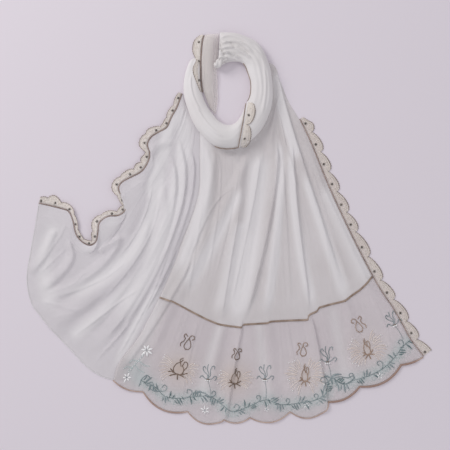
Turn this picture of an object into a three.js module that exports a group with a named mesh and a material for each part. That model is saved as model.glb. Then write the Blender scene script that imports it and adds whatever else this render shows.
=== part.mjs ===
// A white chiffon shawl worn as a hijab, wound once round a neck opening and laid flat on a surface.
// Millimetres, +Z up. The surface is z = 0 and the origin is the middle of the garment's outline.
// The under end fans to the lower left, the front end lies over it and ends in a sheer embroidered border.

import * as THREE from "three";

// Driving dimensions
const PANEL_WALL = 2.0;
const TRIM_WALL = 1.2;
const SEAM_GAP = 0.3;
const REST_GAP = 0.4;
const CORD_RADIUS = 1.4;
const BRAID_WIDTH = 5;
const OVERLAP = 24;
const LACE_PITCH = 45;
const LACE_DEPTH = 18;
const LACE_CUSP_SHARE = 0.3;

// How fine the solids are
const SCALLOP_COLUMNS = 6;
const PANEL_ROWS = 12;
const ROW_CROWDING = 1.15;
const BORDER_ROWS = 4;
const UNDER_COLUMNS = 34;
const UNDER_ROWS = 14;
const RUFFLE_STEPS = 4;
const WRAP_SIDES = 20;
const WRAP_STEPS_PER_ROW = 2;
const BAND_STEPS_PER_ROW = 2;
const CORD_SIDES = 6;
const LACE_STEPS = 6;

// The neck ring, a row for each section: where its inner and outer sides lie, and how high the roll stands.
// The first stretch of rows is the front wrap, and the rest is the back wrap.
const WRAP_ROWS = [
  { innerX: -61, innerY: 332, outerX: -70, outerY: 332, high: 3 },
  { innerX: -58, innerY: 321, outerX: -79, outerY: 323, high: 9 },
  { innerX: -58, innerY: 293, outerX: -88, outerY: 293, high: 13 },
  { innerX: -55, innerY: 266, outerX: -89, outerY: 262, high: 17 },
  { innerX: -44, innerY: 239, outerX: -81, outerY: 231, high: 21 },
  { innerX: -30, innerY: 219, outerX: -68, outerY: 201, high: 24 },
  { innerX: -17, innerY: 206, outerX: -50, outerY: 178, high: 26 },
  { innerX: -3, innerY: 201, outerX: -28, outerY: 160, high: 27 },
  { innerX: 11, innerY: 205, outerX: -11, outerY: 155, high: 27 },
  { innerX: 22, innerY: 219, outerX: 3, outerY: 155, high: 27 },
  { innerX: 34, innerY: 245, outerX: 19, outerY: 158, high: 27 },
  { innerX: 39, innerY: 256, outerX: 44, outerY: 173, high: 27 },
  { innerX: 41, innerY: 270, outerX: 67, outerY: 200, high: 27 },
  { innerX: 40, innerY: 286, outerX: 82, outerY: 241, high: 27 },
  { innerX: 35, innerY: 301, outerX: 83, outerY: 282, high: 27 },
  { innerX: 29, innerY: 316, outerX: 76, outerY: 321, high: 26 },
  { innerX: 19, innerY: 323, outerX: 56, outerY: 359, high: 24 },
  { innerX: -1, innerY: 323, outerX: 17, outerY: 378, high: 22 },
  { innerX: -19, innerY: 315, outerX: -15, outerY: 381, high: 19 },
  { innerX: -23, innerY: 309, outerX: -19.5, outerY: 378, high: 12 },
];
const WRAP_SPLIT = 10;
const WRAP_END_GAP = 0.02;
const WRAP_CENTRE_SHARE = 0.42;
const WRAP_UNDER_SHARE = 0.5;

// Gathers along the ring: how far across the roll from its inner side, which rows they run between,
// and their size
const GATHERS = [
  { across: 0.3, fromRow: 2, toRow: 9, high: 1.6, wide: 0.09 },
  { across: 0.68, fromRow: 3, toRow: 9.6, high: 1.4, wide: 0.08 },
  { across: 0.5, fromRow: 5, toRow: 9, high: 1.2, wide: 0.06 },
  { across: 0.2, fromRow: 15, toRow: 19, high: 2.4, wide: 0.06 },
  { across: 0.36, fromRow: 14.5, toRow: 19, high: 2.6, wide: 0.06 },
  { across: 0.52, fromRow: 12, toRow: 19, high: 2.6, wide: 0.07 },
  { across: 0.68, fromRow: 15, toRow: 19, high: 2.4, wide: 0.06 },
  { across: 0.84, fromRow: 12, toRow: 18.6, high: 2.2, wide: 0.06 },
  { across: 0.3, fromRow: 11, toRow: 15, high: 1.8, wide: 0.08 },
];

// The shoulder band, inside the left of the opening: a low roll with a row for each section.
const BAND_ROWS = [
  { innerX: -21, innerY: 380, outerX: -47, outerY: 377, high: 5 },
  { innerX: -21.2, innerY: 372, outerX: -50, outerY: 370, high: 11 },
  { innerX: -21.8, innerY: 358, outerX: -52, outerY: 358, high: 13 },
  { innerX: -23, innerY: 332, outerX: -54, outerY: 332, high: 11 },
  { innerX: -24.5, innerY: 309, outerX: -54, outerY: 309, high: 9 },
  { innerX: -23, innerY: 286, outerX: -53.5, outerY: 286, high: 7 },
  { innerX: -23, innerY: 266, outerX: -50.5, outerY: 266, high: 5 },
  { innerX: -23, innerY: 249, outerX: -45, outerY: 251, high: 3.5 },
  { innerX: -27, innerY: 222, outerX: -39, outerY: 235, high: 2.2 },
];

// The lace of the band: its depth at stations down the band's left edge, told as section numbers
const BAND_LACE = [
  { row: 0.2, depth: 2 },
  { row: 0.9, depth: 8 },
  { row: 1.6, depth: 14 },
  { row: 2.1, depth: 16 },
  { row: 2.6, depth: 15 },
  { row: 3.2, depth: 7 },
  { row: 3.4, depth: 8 },
  { row: 3.8, depth: 13 },
  { row: 4.3, depth: 13 },
  { row: 4.8, depth: 9 },
  { row: 5.4, depth: 5 },
  { row: 6, depth: 2 },
];

// Edges of the front end, from the ring down
const FRONT_TOP = { fromRow: 5.5, toRow: 15.1, crowding: 0.6 };
const FRONT_LEFT = [
  { x: -58, y: 134 },
  { x: -58, y: 87 },
  { x: -63, y: 56 },
  { x: -77, y: 13 },
  { x: -91, y: -22 },
  { x: -106, y: -65 },
  { x: -124, y: -108 },
];
const FRONT_RIGHT = [
  { x: 88, y: 317 },
  { x: 98, y: 290 },
  { x: 114, y: 250 },
  { x: 137, y: 210 },
  { x: 159, y: 163 },
  { x: 190, y: 87 },
  { x: 223, y: 15 },
  { x: 251, y: -42 },
];

// The right edge is trimmed below this height. Its lace has cusps at these distances up from the hem, and
// each peak stands towards the hem side of its scallop, the more so the smaller the bend.
const TRIM_TOP = 214;
const FRONT_LACE_CUSPS = [-15, 35, 77, 125, 171, 224, 278, 320, 365, 408, 449, 491, 540];
const FRONT_LACE_BEND = 0.63;

// The seam between the front end and its border
const BRAID_LINE = [
  { x: -136, y: -134 },
  { x: -109, y: -142 },
  { x: -78, y: -159 },
  { x: -22, y: -187 },
  { x: 24, y: -191 },
  { x: 79, y: -184 },
  { x: 151, y: -177 },
  { x: 180, y: -160 },
  { x: 223, y: -144 },
  { x: 247, y: -126 },
  { x: 278, y: -94 },
];
const BORDER_LEFT = [
  { x: -159, y: -178 },
  { x: -178, y: -212 },
  { x: -204, y: -245 },
  { x: -219, y: -268 },
];
const BORDER_RIGHT = [
  { x: 297, y: -126 },
  { x: 317, y: -155 },
  { x: 336, y: -188 },
  { x: 352, y: -217 },
];

// The scalloped hem, a row for each cusp: drop is how far the scallop that starts there hangs below
// its chord.
// A row with no drop starts a short step where a pleat folds the hem over.
const HEM_CUSPS = [
  { x: -226, y: -295, drop: 7 },
  { x: -168, y: -317, drop: 17 },
  { x: -81, y: -356, drop: 13 },
  { x: -17, y: -376, drop: 0 },
  { x: -13, y: -371, drop: 9 },
  { x: 40, y: -368, drop: 15 },
  { x: 118, y: -356, drop: 14 },
  { x: 186, y: -354, drop: 0 },
  { x: 190, y: -337, drop: 10 },
  { x: 253, y: -307, drop: 15 },
  { x: 334, y: -265, drop: 3 },
  { x: 377, y: -250, drop: 0 },
];

// Folds of the front end: a crest from one point through another to a third, its height, its half width at
// both ends, and how steep the side is that turns away from the light, where a small share is a knife pleat.
const FRONT_FOLDS = [
  { from: [40, 153], via: [-15, 32], to: [-100, -134], high: 6, startWide: 12, endWide: 20, steep: 1 },
  { from: [32, 153], via: [7, -22], to: [-22, -198], high: 5, startWide: 10, endWide: 18, steep: 1 },
  { from: [89, 176], via: [75, 26], to: [20, -198], high: 9, startWide: 14, endWide: 22, steep: 0.7 },
  { from: [112, 153], via: [93, 7], to: [63, -198], high: 5, startWide: 9, endWide: 18, steep: 1 },
  { from: [118, 173], via: [128, 26], to: [155, -178], high: 8, startWide: 12, endWide: 20, steep: 0.7 },
  { from: [87, 310], via: [130, 153], to: [225, -139], high: 8, startWide: 9, endWide: 22, steep: 0.7 },
  { from: [97, 266], via: [83, 196], to: [79, 134], high: 5, startWide: 8, endWide: 10, steep: 1 },
  { from: [137, 190], via: [225, -10], to: [310, -178], high: 4, startWide: 12, endWide: 34, steep: 1 },
  { from: [-30, 153], via: [-36, 75], to: [-65, -61], high: 5, startWide: 9, endWide: 18, steep: 1 },
  { from: [-50, 160], via: [-46, 56], to: [-120, -139], high: 5, startWide: 8, endWide: 16, steep: 1 },
  { from: [5, 150], via: [20, 75], to: [13, -22], high: 3, startWide: 14, endWide: 20, steep: 1 },
  { from: [63, 153], via: [48, 75], to: [32, -22], high: 4, startWide: 10, endWide: 16, steep: 1 },
  { from: [-65, -42], via: [-136, -169], to: [-216, -282], high: 5, startWide: 9, endWide: 14, steep: 0.6 },
  { from: [-106, -139], via: [-136, -208], to: [-160, -325], high: 3, startWide: 12, endWide: 22, steep: 1 },
  { from: [-7, -170], via: [-30, -276], to: [-50, -390], high: 4, startWide: 12, endWide: 22, steep: 1 },
  { from: [24, -170], via: [4, -276], to: [-15, -392], high: 7, startWide: 12, endWide: 20, steep: 0.7 },
  { from: [75, -165], via: [83, -276], to: [87, -390], high: 4, startWide: 12, endWide: 24, steep: 1 },
  { from: [153, -160], via: [173, -266], to: [189, -372], high: 8, startWide: 14, endWide: 20, steep: 0.7 },
  { from: [225, -125], via: [242, -217], to: [256, -330], high: 4, startWide: 12, endWide: 24, steep: 1 },
];

// The under end's trimmed edge, a row for each turn of its ruffle, from the ring to the tail: lift is
// how high the edge stands, and lace is how deep the lace shows there.
const RUFFLE = [
  { x: -91, y: 263, lift: 0, lace: 7 },
  { x: -101, y: 235, lift: 3, lace: 9 },
  { x: -112, y: 215, lift: 4, lace: 10 },
  { x: -121, y: 196, lift: 4, lace: 9 },
  { x: -136, y: 187, lift: 3, lace: 11 },
  { x: -151, y: 177, lift: 5, lace: 16 },
  { x: -158, y: 163, lift: 6, lace: 15 },
  { x: -154, y: 149, lift: 4, lace: 9 },
  { x: -156, y: 132, lift: 4, lace: 14 },
  { x: -169, y: 111, lift: 5, lace: 16 },
  { x: -190, y: 99, lift: 4, lace: 14 },
  { x: -208, y: 89, lift: 6, lace: 13 },
  { x: -214, y: 78, lift: 7, lace: 12 },
  { x: -207, y: 63, lift: 5, lace: 8 },
  { x: -198, y: 48, lift: 3, lace: 9 },
  { x: -203, y: 33, lift: 4, lace: 10 },
  { x: -216, y: 24, lift: 5, lace: 9 },
  { x: -236, y: 22, lift: 6, lace: 9 },
  { x: -251, y: 11, lift: 8, lace: 12 },
  { x: -254, y: -7, lift: 9, lace: 12 },
  { x: -258, y: -26, lift: 8, lace: 8 },
  { x: -271, y: -34, lift: 5, lace: 7 },
  { x: -288, y: -27, lift: 3, lace: 6 },
  { x: -300, y: -12, lift: 3, lace: 6 },
  { x: -306, y: 14, lift: 5, lace: 6 },
  { x: -314, y: 32, lift: 5, lace: 9 },
  { x: -330, y: 38, lift: 3, lace: 14 },
  { x: -350, y: 43, lift: 1, lace: 20 },
  { x: -372, y: 48, lift: 0, lace: 10 },
];
const RUFFLE_INSET = 38;
const RUFFLE_SMOOTHING = 0.16;

// The under end's other edges
const UNDER_TOP = { fromRow: 3.1, toRow: 6.1 };
const UNDER_HEM = [
  { x: -372, y: 48 },
  { x: -378, y: 7 },
  { x: -387, y: -42 },
  { x: -395, y: -97 },
  { x: -387, y: -143 },
  { x: -370, y: -169 },
  { x: -346, y: -198 },
  { x: -311, y: -235 },
  { x: -282, y: -266 },
  { x: -256, y: -285 },
  { x: -230, y: -294 },
  { x: -205, y: -292 },
];

const UNDER_FOLDS = [
  { from: [-340, 0], via: [-358, -42], to: [-392, -93], high: 5, startWide: 12, endWide: 18, steep: 1 },
  { from: [-319, -22], via: [-311, -65], to: [-370, -122], high: 6, startWide: 12, endWide: 18, steep: 1 },
  { from: [-212, -11], via: [-256, -77], to: [-360, -142], high: 6, startWide: 14, endWide: 20, steep: 1 },
  { from: [-155, 26], via: [-214, -91], to: [-356, -190], high: 8, startWide: 16, endWide: 28, steep: 1 },
  { from: [-136, 95], via: [-155, -42], to: [-316, -228], high: 6, startWide: 14, endWide: 24, steep: 1 },
  { from: [-120, 153], via: [-128, -13], to: [-266, -246], high: 7, startWide: 12, endWide: 22, steep: 1 },
  { from: [-104, 182], via: [-106, 7], to: [-233, -225], high: 6, startWide: 9, endWide: 20, steep: 1 },
  { from: [-80, 160], via: [-85, 27], to: [-182, -188], high: 5, startWide: 9, endWide: 14, steep: 1 },
  { from: [-253, -50], via: [-233, -32], to: [-206, -15], high: 5, startWide: 10, endWide: 10, steep: 1 },
  { from: [-175, 100], via: [-178, 56], to: [-210, -15], high: 4, startWide: 14, endWide: 20, steep: 1 },
  { from: [-155, 130], via: [-136, 150], to: [-112, 173], high: 4, startWide: 11, endWide: 11, steep: 1 },
];
const FOLD_SAMPLES = 16;
const FOLD_RISE = 0.16;

const CLOTH_COLOUR = 0xd8d5d8;
const SHEER_COLOUR = 0xc6c0c4;
const LACE_COLOUR = 0xcdbfb4;
const GOLD_COLOUR = 0xb39a7e;

function material(color, roughness) {
  return new THREE.MeshStandardMaterial({ color, roughness, metalness: 0, side: THREE.DoubleSide });
}

const clothMaterial = material(CLOTH_COLOUR, 0.85);
const sheerMaterial = material(SHEER_COLOUR, 0.8);
const laceMaterial = material(LACE_COLOUR, 0.85);
const goldMaterial = material(GOLD_COLOUR, 0.55);

const clamp = THREE.MathUtils.clamp;
const mix = THREE.MathUtils.lerp;

function ease(value) {
  const t = clamp(value, 0, 1);
  return t * t * (3 - 2 * t);
}

// A smooth line through table rows. Each column is a cubic between the rows, which stand at the given
// stations.
function trackThrough(rows, stations) {
  const last = rows.length - 1;
  const slope = (i, key) => {
    const a = Math.max(i - 1, 0);
    const b = Math.min(i + 1, last);
    return (rows[b][key] - rows[a][key]) / (stations[b] - stations[a]);
  };
  return (station) => {
    const s = clamp(station, stations[0], stations[last]);
    let i = 0;
    while (i < last - 1 && s > stations[i + 1]) i += 1;
    const span = stations[i + 1] - stations[i];
    const f = (s - stations[i]) / span;
    const point = {};
    for (const key of Object.keys(rows[0])) {
      const a = rows[i][key];
      const b = rows[i + 1][key];
      const rise = slope(i, key) * span;
      const fall = slope(i + 1, key) * span;
      point[key] =
        a * (2 * f ** 3 - 3 * f ** 2 + 1) + rise * (f ** 3 - 2 * f ** 2 + f) +
        b * (3 * f ** 2 - 2 * f ** 3) + fall * (f ** 3 - f ** 2);
    }
    return point;
  };
}

// The same line with its stations spaced by distance in plan and scaled to run from 0 to 1
function edgeThrough(rows) {
  const stations = [0];
  for (let i = 1; i < rows.length; i += 1) {
    const step = Math.hypot(rows[i].x - rows[i - 1].x, rows[i].y - rows[i - 1].y);
    stations.push(stations[i - 1] + step);
  }
  const total = stations[stations.length - 1];
  return trackThrough(rows, stations.map((station) => station / total));
}

function distance(a, b) {
  return Math.hypot(a.x - b.x, a.y - b.y);
}

// A patch of cloth between four edges that meet at its corners, in plan
function patchPoint(top, bottom, left, right, u, v) {
  const at = (key) => {
    const ruled = mix(top(u)[key], bottom(u)[key], v) + mix(left(v)[key], right(v)[key], u);
    const corners = mix(mix(top(0)[key], top(1)[key], u), mix(bottom(0)[key], bottom(1)[key], u), v);
    return ruled - corners;
  };
  return { x: at("x"), y: at("y") };
}

// A crest line of a fold, as short straight lengths
function crestLine(fold) {
  const points = [];
  for (let i = 0; i <= FOLD_SAMPLES; i += 1) {
    const t = i / FOLD_SAMPLES;
    const bend = [0, 1].map((axis) => 2 * fold.via[axis] - (fold.from[axis] + fold.to[axis]) / 2);
    const along = (axis) =>
      (1 - t) ** 2 * fold.from[axis] + 2 * t * (1 - t) * bend[axis] + t * t * fold.to[axis];
    points.push({ x: along(0), y: along(1) });
  }
  return points;
}

function withCrests(folds) {
  return folds.map((fold) => ({ ...fold, crest: crestLine(fold) }));
}

// How high one fold stands over a point: a rounded ridge about its crest that rises and dies away along it
function ridgeHeight(fold, point) {
  let nearest = Infinity;
  let side = 1;
  let along = 0;
  for (let i = 0; i < FOLD_SAMPLES; i += 1) {
    const a = fold.crest[i];
    const b = fold.crest[i + 1];
    const dx = b.x - a.x;
    const dy = b.y - a.y;
    const raw = ((point.x - a.x) * dx + (point.y - a.y) * dy) / (dx * dx + dy * dy);
    const f = clamp(raw, 0, 1);
    const offX = point.x - a.x - f * dx;
    const offY = point.y - a.y - f * dy;
    const gap = Math.hypot(offX, offY);
    if (gap < nearest) {
      nearest = gap;
      side = dx * offY - dy * offX;
      along = (i + f) / FOLD_SAMPLES;
    }
  }
  const wide = mix(fold.startWide, fold.endWide, along) * (side > 0 ? fold.steep : 1);
  const taper = ease(along / FOLD_RISE) * ease((1 - along) / FOLD_RISE);
  return fold.high * taper * ease(1 - nearest / wide);
}

function foldHeight(folds, point) {
  return folds.reduce((sum, fold) => sum + ridgeHeight(fold, point), 0);
}

// Collects the points and faces of one closed solid
class Solid {
  constructor() {
    this.positions = [];
    this.faces = [];
  }

  add(point) {
    this.positions.push(point.x, point.y, point.z);
    return this.positions.length / 3 - 1;
  }

  triangle(a, b, c) {
    this.faces.push(a, b, c);
  }

  quad(a, b, c, d) {
    this.triangle(a, b, c);
    this.triangle(a, c, d);
  }

  corner(index) {
    return new THREE.Vector3().fromArray(this.positions, index * 3);
  }

  volume() {
    let sum = 0;
    for (let i = 0; i < this.faces.length; i += 3) {
      const [a, b, c] = [0, 1, 2].map((n) => this.corner(this.faces[i + n]));
      sum += a.dot(b.cross(c)) / 6;
    }
    return sum;
  }

  // The faces are turned over together when they were collected facing in
  mesh(name, surface) {
    const faces = this.volume() > 0 ? this.faces : this.faces.slice().reverse();
    const geometry = new THREE.BufferGeometry();
    geometry.setAttribute("position", new THREE.Float32BufferAttribute(this.positions, 3));
    geometry.setIndex(faces);
    geometry.computeVertexNormals();
    const result = new THREE.Mesh(geometry, surface);
    result.name = name;
    return result;
  }
}

// A point of cloth, with its upper and lower side straight above each other
function plumb(point, low, high) {
  return {
    upper: new THREE.Vector3(point.x, point.y, high),
    lower: new THREE.Vector3(point.x, point.y, low),
  };
}

// A closed wall of cloth from rows of points. A finer left edge may stand in for each row's first point:
// its points and the rows' second points are then joined by the shorter diagonal each time.
function sheetSolid(rows, fineEdge = null) {
  const solid = new Solid();
  const place = (point) => ({ top: solid.add(point.upper), base: solid.add(point.lower) });
  const grid = rows.map((row) => row.slice(fineEdge ? 1 : 0).map(place));
  const edge = fineEdge ? fineEdge.map(place) : null;
  const lastRow = grid.length - 1;
  const lastColumn = grid[0].length - 1;
  const side = (a, b) => solid.quad(b.top, a.top, a.base, b.base);
  const both = (a, b, c) => {
    solid.triangle(a.top, b.top, c.top);
    solid.triangle(a.base, c.base, b.base);
  };
  for (let j = 0; j < lastRow; j += 1) {
    for (let i = 0; i < lastColumn; i += 1) {
      both(grid[j][i], grid[j + 1][i], grid[j + 1][i + 1]);
      both(grid[j][i], grid[j + 1][i + 1], grid[j][i + 1]);
    }
    side(grid[j + 1][lastColumn], grid[j][lastColumn]);
    if (!edge) side(grid[j][0], grid[j + 1][0]);
  }
  for (let i = 0; i < lastColumn; i += 1) {
    side(grid[0][i + 1], grid[0][i]);
    side(grid[lastRow][i], grid[lastRow][i + 1]);
  }
  if (!edge) return solid;
  const reach = (n, row) => fineEdge[n].upper.distanceTo(rows[row][1].upper);
  let n = 0;
  let row = 0;
  while (n < edge.length - 1 || row < lastRow) {
    const edgeLeft = n < edge.length - 1;
    if (row === lastRow || (edgeLeft && reach(n + 1, row) < reach(n, row + 1))) {
      both(edge[n], edge[n + 1], grid[row][0]);
      side(edge[n], edge[n + 1]);
      n += 1;
    } else {
      both(edge[n], grid[row + 1][0], grid[row][0]);
      row += 1;
    }
  }
  side(grid[0][0], edge[0]);
  side(edge[edge.length - 1], grid[lastRow][0]);
  return solid;
}

// A closed solid through a row of loops that have the same number of points
function loftSolid(loops) {
  const solid = new Solid();
  const rings = loops.map((loop) => loop.map((point) => solid.add(point)));
  const sides = rings[0].length;
  for (let j = 0; j < rings.length - 1; j += 1) {
    for (let i = 0; i < sides; i += 1) {
      const next = (i + 1) % sides;
      solid.quad(rings[j][i], rings[j][next], rings[j + 1][next], rings[j + 1][i]);
    }
  }
  const cap = (ring, loop, forward) => {
    const middle = loop.reduce((sum, point) => sum.add(point), new THREE.Vector3()).divideScalar(sides);
    const hub = solid.add(middle);
    for (let i = 0; i < sides; i += 1) {
      const next = (i + 1) % sides;
      if (forward) solid.triangle(hub, ring[i], ring[next]);
      else solid.triangle(hub, ring[next], ring[i]);
    }
  };
  cap(rings[0], loops[0], false);
  cap(rings[rings.length - 1], loops[loops.length - 1], true);
  return solid;
}

// A round cord through its centre points
function cordSolid(points) {
  const up = new THREE.Vector3(0, 0, 1);
  const loops = points.map((point, i) => {
    const before = points[Math.max(i - 1, 0)];
    const after = points[Math.min(i + 1, points.length - 1)];
    const along = new THREE.Vector3().subVectors(after, before).normalize();
    const across = new THREE.Vector3().crossVectors(up, along).normalize();
    const lift = new THREE.Vector3().crossVectors(along, across);
    const loop = [];
    for (let n = 0; n < CORD_SIDES; n += 1) {
      const angle = (2 * Math.PI * (n + 0.5)) / CORD_SIDES;
      const reach = across.clone().multiplyScalar(CORD_RADIUS * Math.cos(angle));
      reach.addScaledVector(lift, CORD_RADIUS * Math.sin(angle));
      loop.push(reach.add(point));
    }
    return loop;
  });
  return loftSolid(loops);
}

// The line beside an edge, at a constant distance to the right of its direction in plan.
// At each point both neighbouring lengths keep that distance.
function besideLine(points, away) {
  return points.map((point, i) => {
    const before = points[Math.max(i - 1, 0)];
    const after = points[Math.min(i + 1, points.length - 1)];
    const normal = (a, b) => {
      const long = distance(a, b) || 1;
      return { x: (b.y - a.y) / long, y: -(b.x - a.x) / long };
    };
    const first = i === 0 ? normal(point, after) : normal(before, point);
    const second = i === points.length - 1 ? first : normal(point, after);
    const sumX = first.x + second.x;
    const sumY = first.y + second.y;
    const scale = Math.min(2 / (sumX ** 2 + sumY ** 2), 1);
    return { ...point, x: point.x + away * scale * sumX, y: point.y + away * scale * sumY };
  });
}

// How deep a scallop of lace is at a share of its way from one cusp to the next, as a share of its full depth
function scallopDepth(part) {
  return mix(LACE_CUSP_SHARE, 1, Math.sqrt(Math.abs(Math.sin(Math.PI * part))));
}

// The neck ring

const wrapTrack = trackThrough(WRAP_ROWS, WRAP_ROWS.map((row, i) => i));
const bandTrack = trackThrough(BAND_ROWS, BAND_ROWS.map((row, i) => i));

function gatherHeight(row, across) {
  return GATHERS.reduce((sum, gather) => {
    const inside = (row - gather.fromRow) * (gather.toRow - row);
    const length = (gather.toRow - gather.fromRow) / 2;
    const taper = ease((2 * inside) / length ** 2);
    return sum + gather.high * taper * Math.exp(-(((across - gather.across) / gather.wide) ** 2));
  }, 0);
}

// A point on a roll's skin: angle 0 is its outer side, a quarter turn its top, and out lifts it off the skin
function rollPoint(track, row, angle, out) {
  const section = track(row);
  const across = (1 + Math.cos(angle)) / 2;
  const wideX = section.outerX - section.innerX;
  const wideY = section.outerY - section.innerY;
  const wide = Math.hypot(wideX, wideY);
  const up = Math.sin(angle);
  const share = up > 0 ? 1 - WRAP_CENTRE_SHARE : WRAP_UNDER_SHARE;
  const normalAcross = Math.cos(angle) / wide;
  const normalUp = up / (2 * share * section.high);
  const length = Math.hypot(normalAcross, normalUp);
  const shift = (out * normalAcross) / length / wide;
  const z = section.high * (WRAP_CENTRE_SHARE + share * up) + (out * normalUp) / length;
  return new THREE.Vector3(
    section.innerX + wideX * (across + shift),
    section.innerY + wideY * (across + shift),
    Math.max(z, 0),
  );
}

function wrapPoint(row, angle, out = 0) {
  const across = (1 + Math.cos(angle)) / 2;
  const gathered = angle > 0 && angle < Math.PI ? gatherHeight(row, across) * Math.sin(angle) : 0;
  return rollPoint(wrapTrack, row, angle, out + gathered);
}

// A point that stands off the ring's skin by the given distance, square to it
const NORMAL_STEP = 0.02;

function wrapOff(row, angle, out) {
  const step = NORMAL_STEP;
  const along = wrapPoint(row + step, angle).sub(wrapPoint(row - step, angle));
  const round = wrapPoint(row, angle + step).sub(wrapPoint(row, angle - step));
  const normal = along.cross(round).normalize();
  return wrapPoint(row, angle).addScaledVector(normal, normal.z < 0 ? -out : out);
}

function wrapSolid(fromRow, toRow) {
  const steps = Math.round((toRow - fromRow) * WRAP_STEPS_PER_ROW);
  const loops = [];
  for (let j = 0; j <= steps; j += 1) {
    const row = mix(fromRow, toRow, j / steps);
    const loop = [];
    for (let i = 0; i < WRAP_SIDES; i += 1) loop.push(wrapPoint(row, (2 * Math.PI * (i + 0.5)) / WRAP_SIDES));
    loops.push(loop);
  }
  return loftSolid(loops);
}

// Where the ring's outer side lies in plan, moved inwards
function wrapSide(row, inset) {
  const section = wrapTrack(row);
  const outer = { x: section.outerX, y: section.outerY };
  const inner = { x: section.innerX, y: section.innerY };
  const share = inset / distance(outer, inner);
  return { x: mix(outer.x, inner.x, share), y: mix(outer.y, inner.y, share) };
}

// The ring's highest skin close to a point in plan, or zero away from it
const SKIN_ROW_STEP = 0.1;
const SKIN_ANGLE_STEP = Math.PI / 24;
const wrapSkin = [];
for (let row = 0; row <= WRAP_ROWS.length - 1; row += SKIN_ROW_STEP) {
  for (let angle = 0; angle <= Math.PI; angle += SKIN_ANGLE_STEP) {
    wrapSkin.push(Object.assign(wrapPoint(row, angle), { row, angle }));
  }
}

function wrapHeightNear(point, reach) {
  return wrapSkin.reduce((high, skin) => (distance(skin, point) < reach ? Math.max(high, skin.z) : high), 0);
}

function bandSolid() {
  const loops = [];
  const steps = (BAND_ROWS.length - 1) * BAND_STEPS_PER_ROW;
  for (let j = 0; j <= steps; j += 1) {
    const loop = [];
    for (let i = 0; i < WRAP_SIDES; i += 1) {
      const angle = (2 * Math.PI * (i + 0.5)) / WRAP_SIDES;
      loop.push(rollPoint(bandTrack, j / BAND_STEPS_PER_ROW, angle, 0));
    }
    loops.push(loop);
  }
  return loftSolid(loops);
}

// The front end and its border

const TUCK = 2;
const FREE_OF_RING = 18;
const FLAT_EDGE = 16;
const LIFT_MARGIN = 8;
const LIFT_FADE = 16;
const LIFT = PANEL_WALL + REST_GAP;

const frontFolds = withCrests(FRONT_FOLDS);
const underFolds = withCrests(UNDER_FOLDS);

const frontTop = (u) => wrapSide(mix(FRONT_TOP.fromRow, FRONT_TOP.toRow, u ** FRONT_TOP.crowding), TUCK);
const braidEdge = edgeThrough(BRAID_LINE);
const frontLeft = edgeThrough([frontTop(0), ...FRONT_LEFT, BRAID_LINE[0]]);
const frontRight = edgeThrough([frontTop(1), ...FRONT_RIGHT, BRAID_LINE[BRAID_LINE.length - 1]]);

const hemChords = HEM_CUSPS.slice(1).map((cusp, i) => distance(cusp, HEM_CUSPS[i]));
const hemLength = hemChords.reduce((sum, chord) => sum + chord, 0);

// The hem's point at a share of its length: a bowed scallop from one cusp to the next
function hemEdge(u) {
  let rest = clamp(u, 0, 1) * hemLength;
  let i = 0;
  while (i < hemChords.length - 1 && rest > hemChords[i]) {
    rest -= hemChords[i];
    i += 1;
  }
  const a = HEM_CUSPS[i];
  const b = HEM_CUSPS[i + 1];
  const f = rest / hemChords[i];
  const bow = (a.drop * (1 - (2 * f - 1) ** 2)) / hemChords[i];
  return { x: mix(a.x, b.x, f) + bow * (b.y - a.y), y: mix(a.y, b.y, f) - bow * (b.x - a.x) };
}

// Columns of the front end, so that each cusp and each pleat step of the hem has one
function hemColumns() {
  const columns = [0];
  let start = 0;
  hemChords.forEach((chord, i) => {
    const count = HEM_CUSPS[i].drop > 0 ? SCALLOP_COLUMNS : 1;
    for (let n = 1; n <= count; n += 1) columns.push((start + (chord * n) / count) / hemLength);
    start += chord;
  });
  return columns;
}

const borderLeft = edgeThrough([BRAID_LINE[0], ...BORDER_LEFT, HEM_CUSPS[0]]);
const borderRight = edgeThrough([
  BRAID_LINE[BRAID_LINE.length - 1],
  ...BORDER_RIGHT,
  HEM_CUSPS[HEM_CUSPS.length - 1],
]);

// The cloth over one point of the front end: it lies on the under end along its left edge, and flat at
// its right
function frontCloth(point, left, right, top) {
  const fromLeft = distance(point, left);
  const lift = LIFT * (1 - ease((fromLeft - OVERLAP - LIFT_MARGIN) / LIFT_FADE));
  const still = ease(distance(point, right) / FLAT_EDGE) * ease(distance(point, top) / FREE_OF_RING);
  const low = lift + foldHeight(frontFolds, point) * still;
  return plumb(point, low, low + PANEL_WALL);
}

function frontPoint(u, v) {
  const point = patchPoint(frontTop, braidEdge, frontLeft, frontRight, u, v);
  return frontCloth(point, frontLeft(v), frontRight(v), frontTop(u));
}

function borderPoint(u, v) {
  const point = patchPoint(braidEdge, hemEdge, borderLeft, borderRight, u, v);
  return frontCloth(point, borderLeft(v), borderRight(v), frontTop(u));
}

const columns = hemColumns();
const frontLength = columns.map((u) => distance(frontTop(u), braidEdge(u)));
const borderLength = columns.map((u) => distance(braidEdge(u), hemEdge(u)));

// Shares of the way down at which the front end and the border have their rows
const frontRows = Array.from({ length: PANEL_ROWS + 1 }, (_, j) => (j / PANEL_ROWS) ** ROW_CROWDING);
const borderRows = Array.from({ length: BORDER_ROWS + 1 }, (_, j) => j / BORDER_ROWS);
const halfBraid = BRAID_WIDTH / 2;

function frontGrid() {
  const body = frontRows.slice(0, -1).map((v) =>
    columns.map((u, i) => frontPoint(u, v * (1 - halfBraid / frontLength[i]))));
  const under = columns.map((u, i) => frontPoint(u, 1 - halfBraid / frontLength[i]));
  return [...body, under, columns.map((u) => frontPoint(u, 1))];
}

function borderGrid() {
  const seam = columns.map((u, i) => borderPoint(u, SEAM_GAP / borderLength[i]));
  const body = borderRows.map((v) =>
    columns.map((u, i) => borderPoint(u, mix(halfBraid / borderLength[i], 1, v))));
  return [seam, ...body];
}

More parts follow.
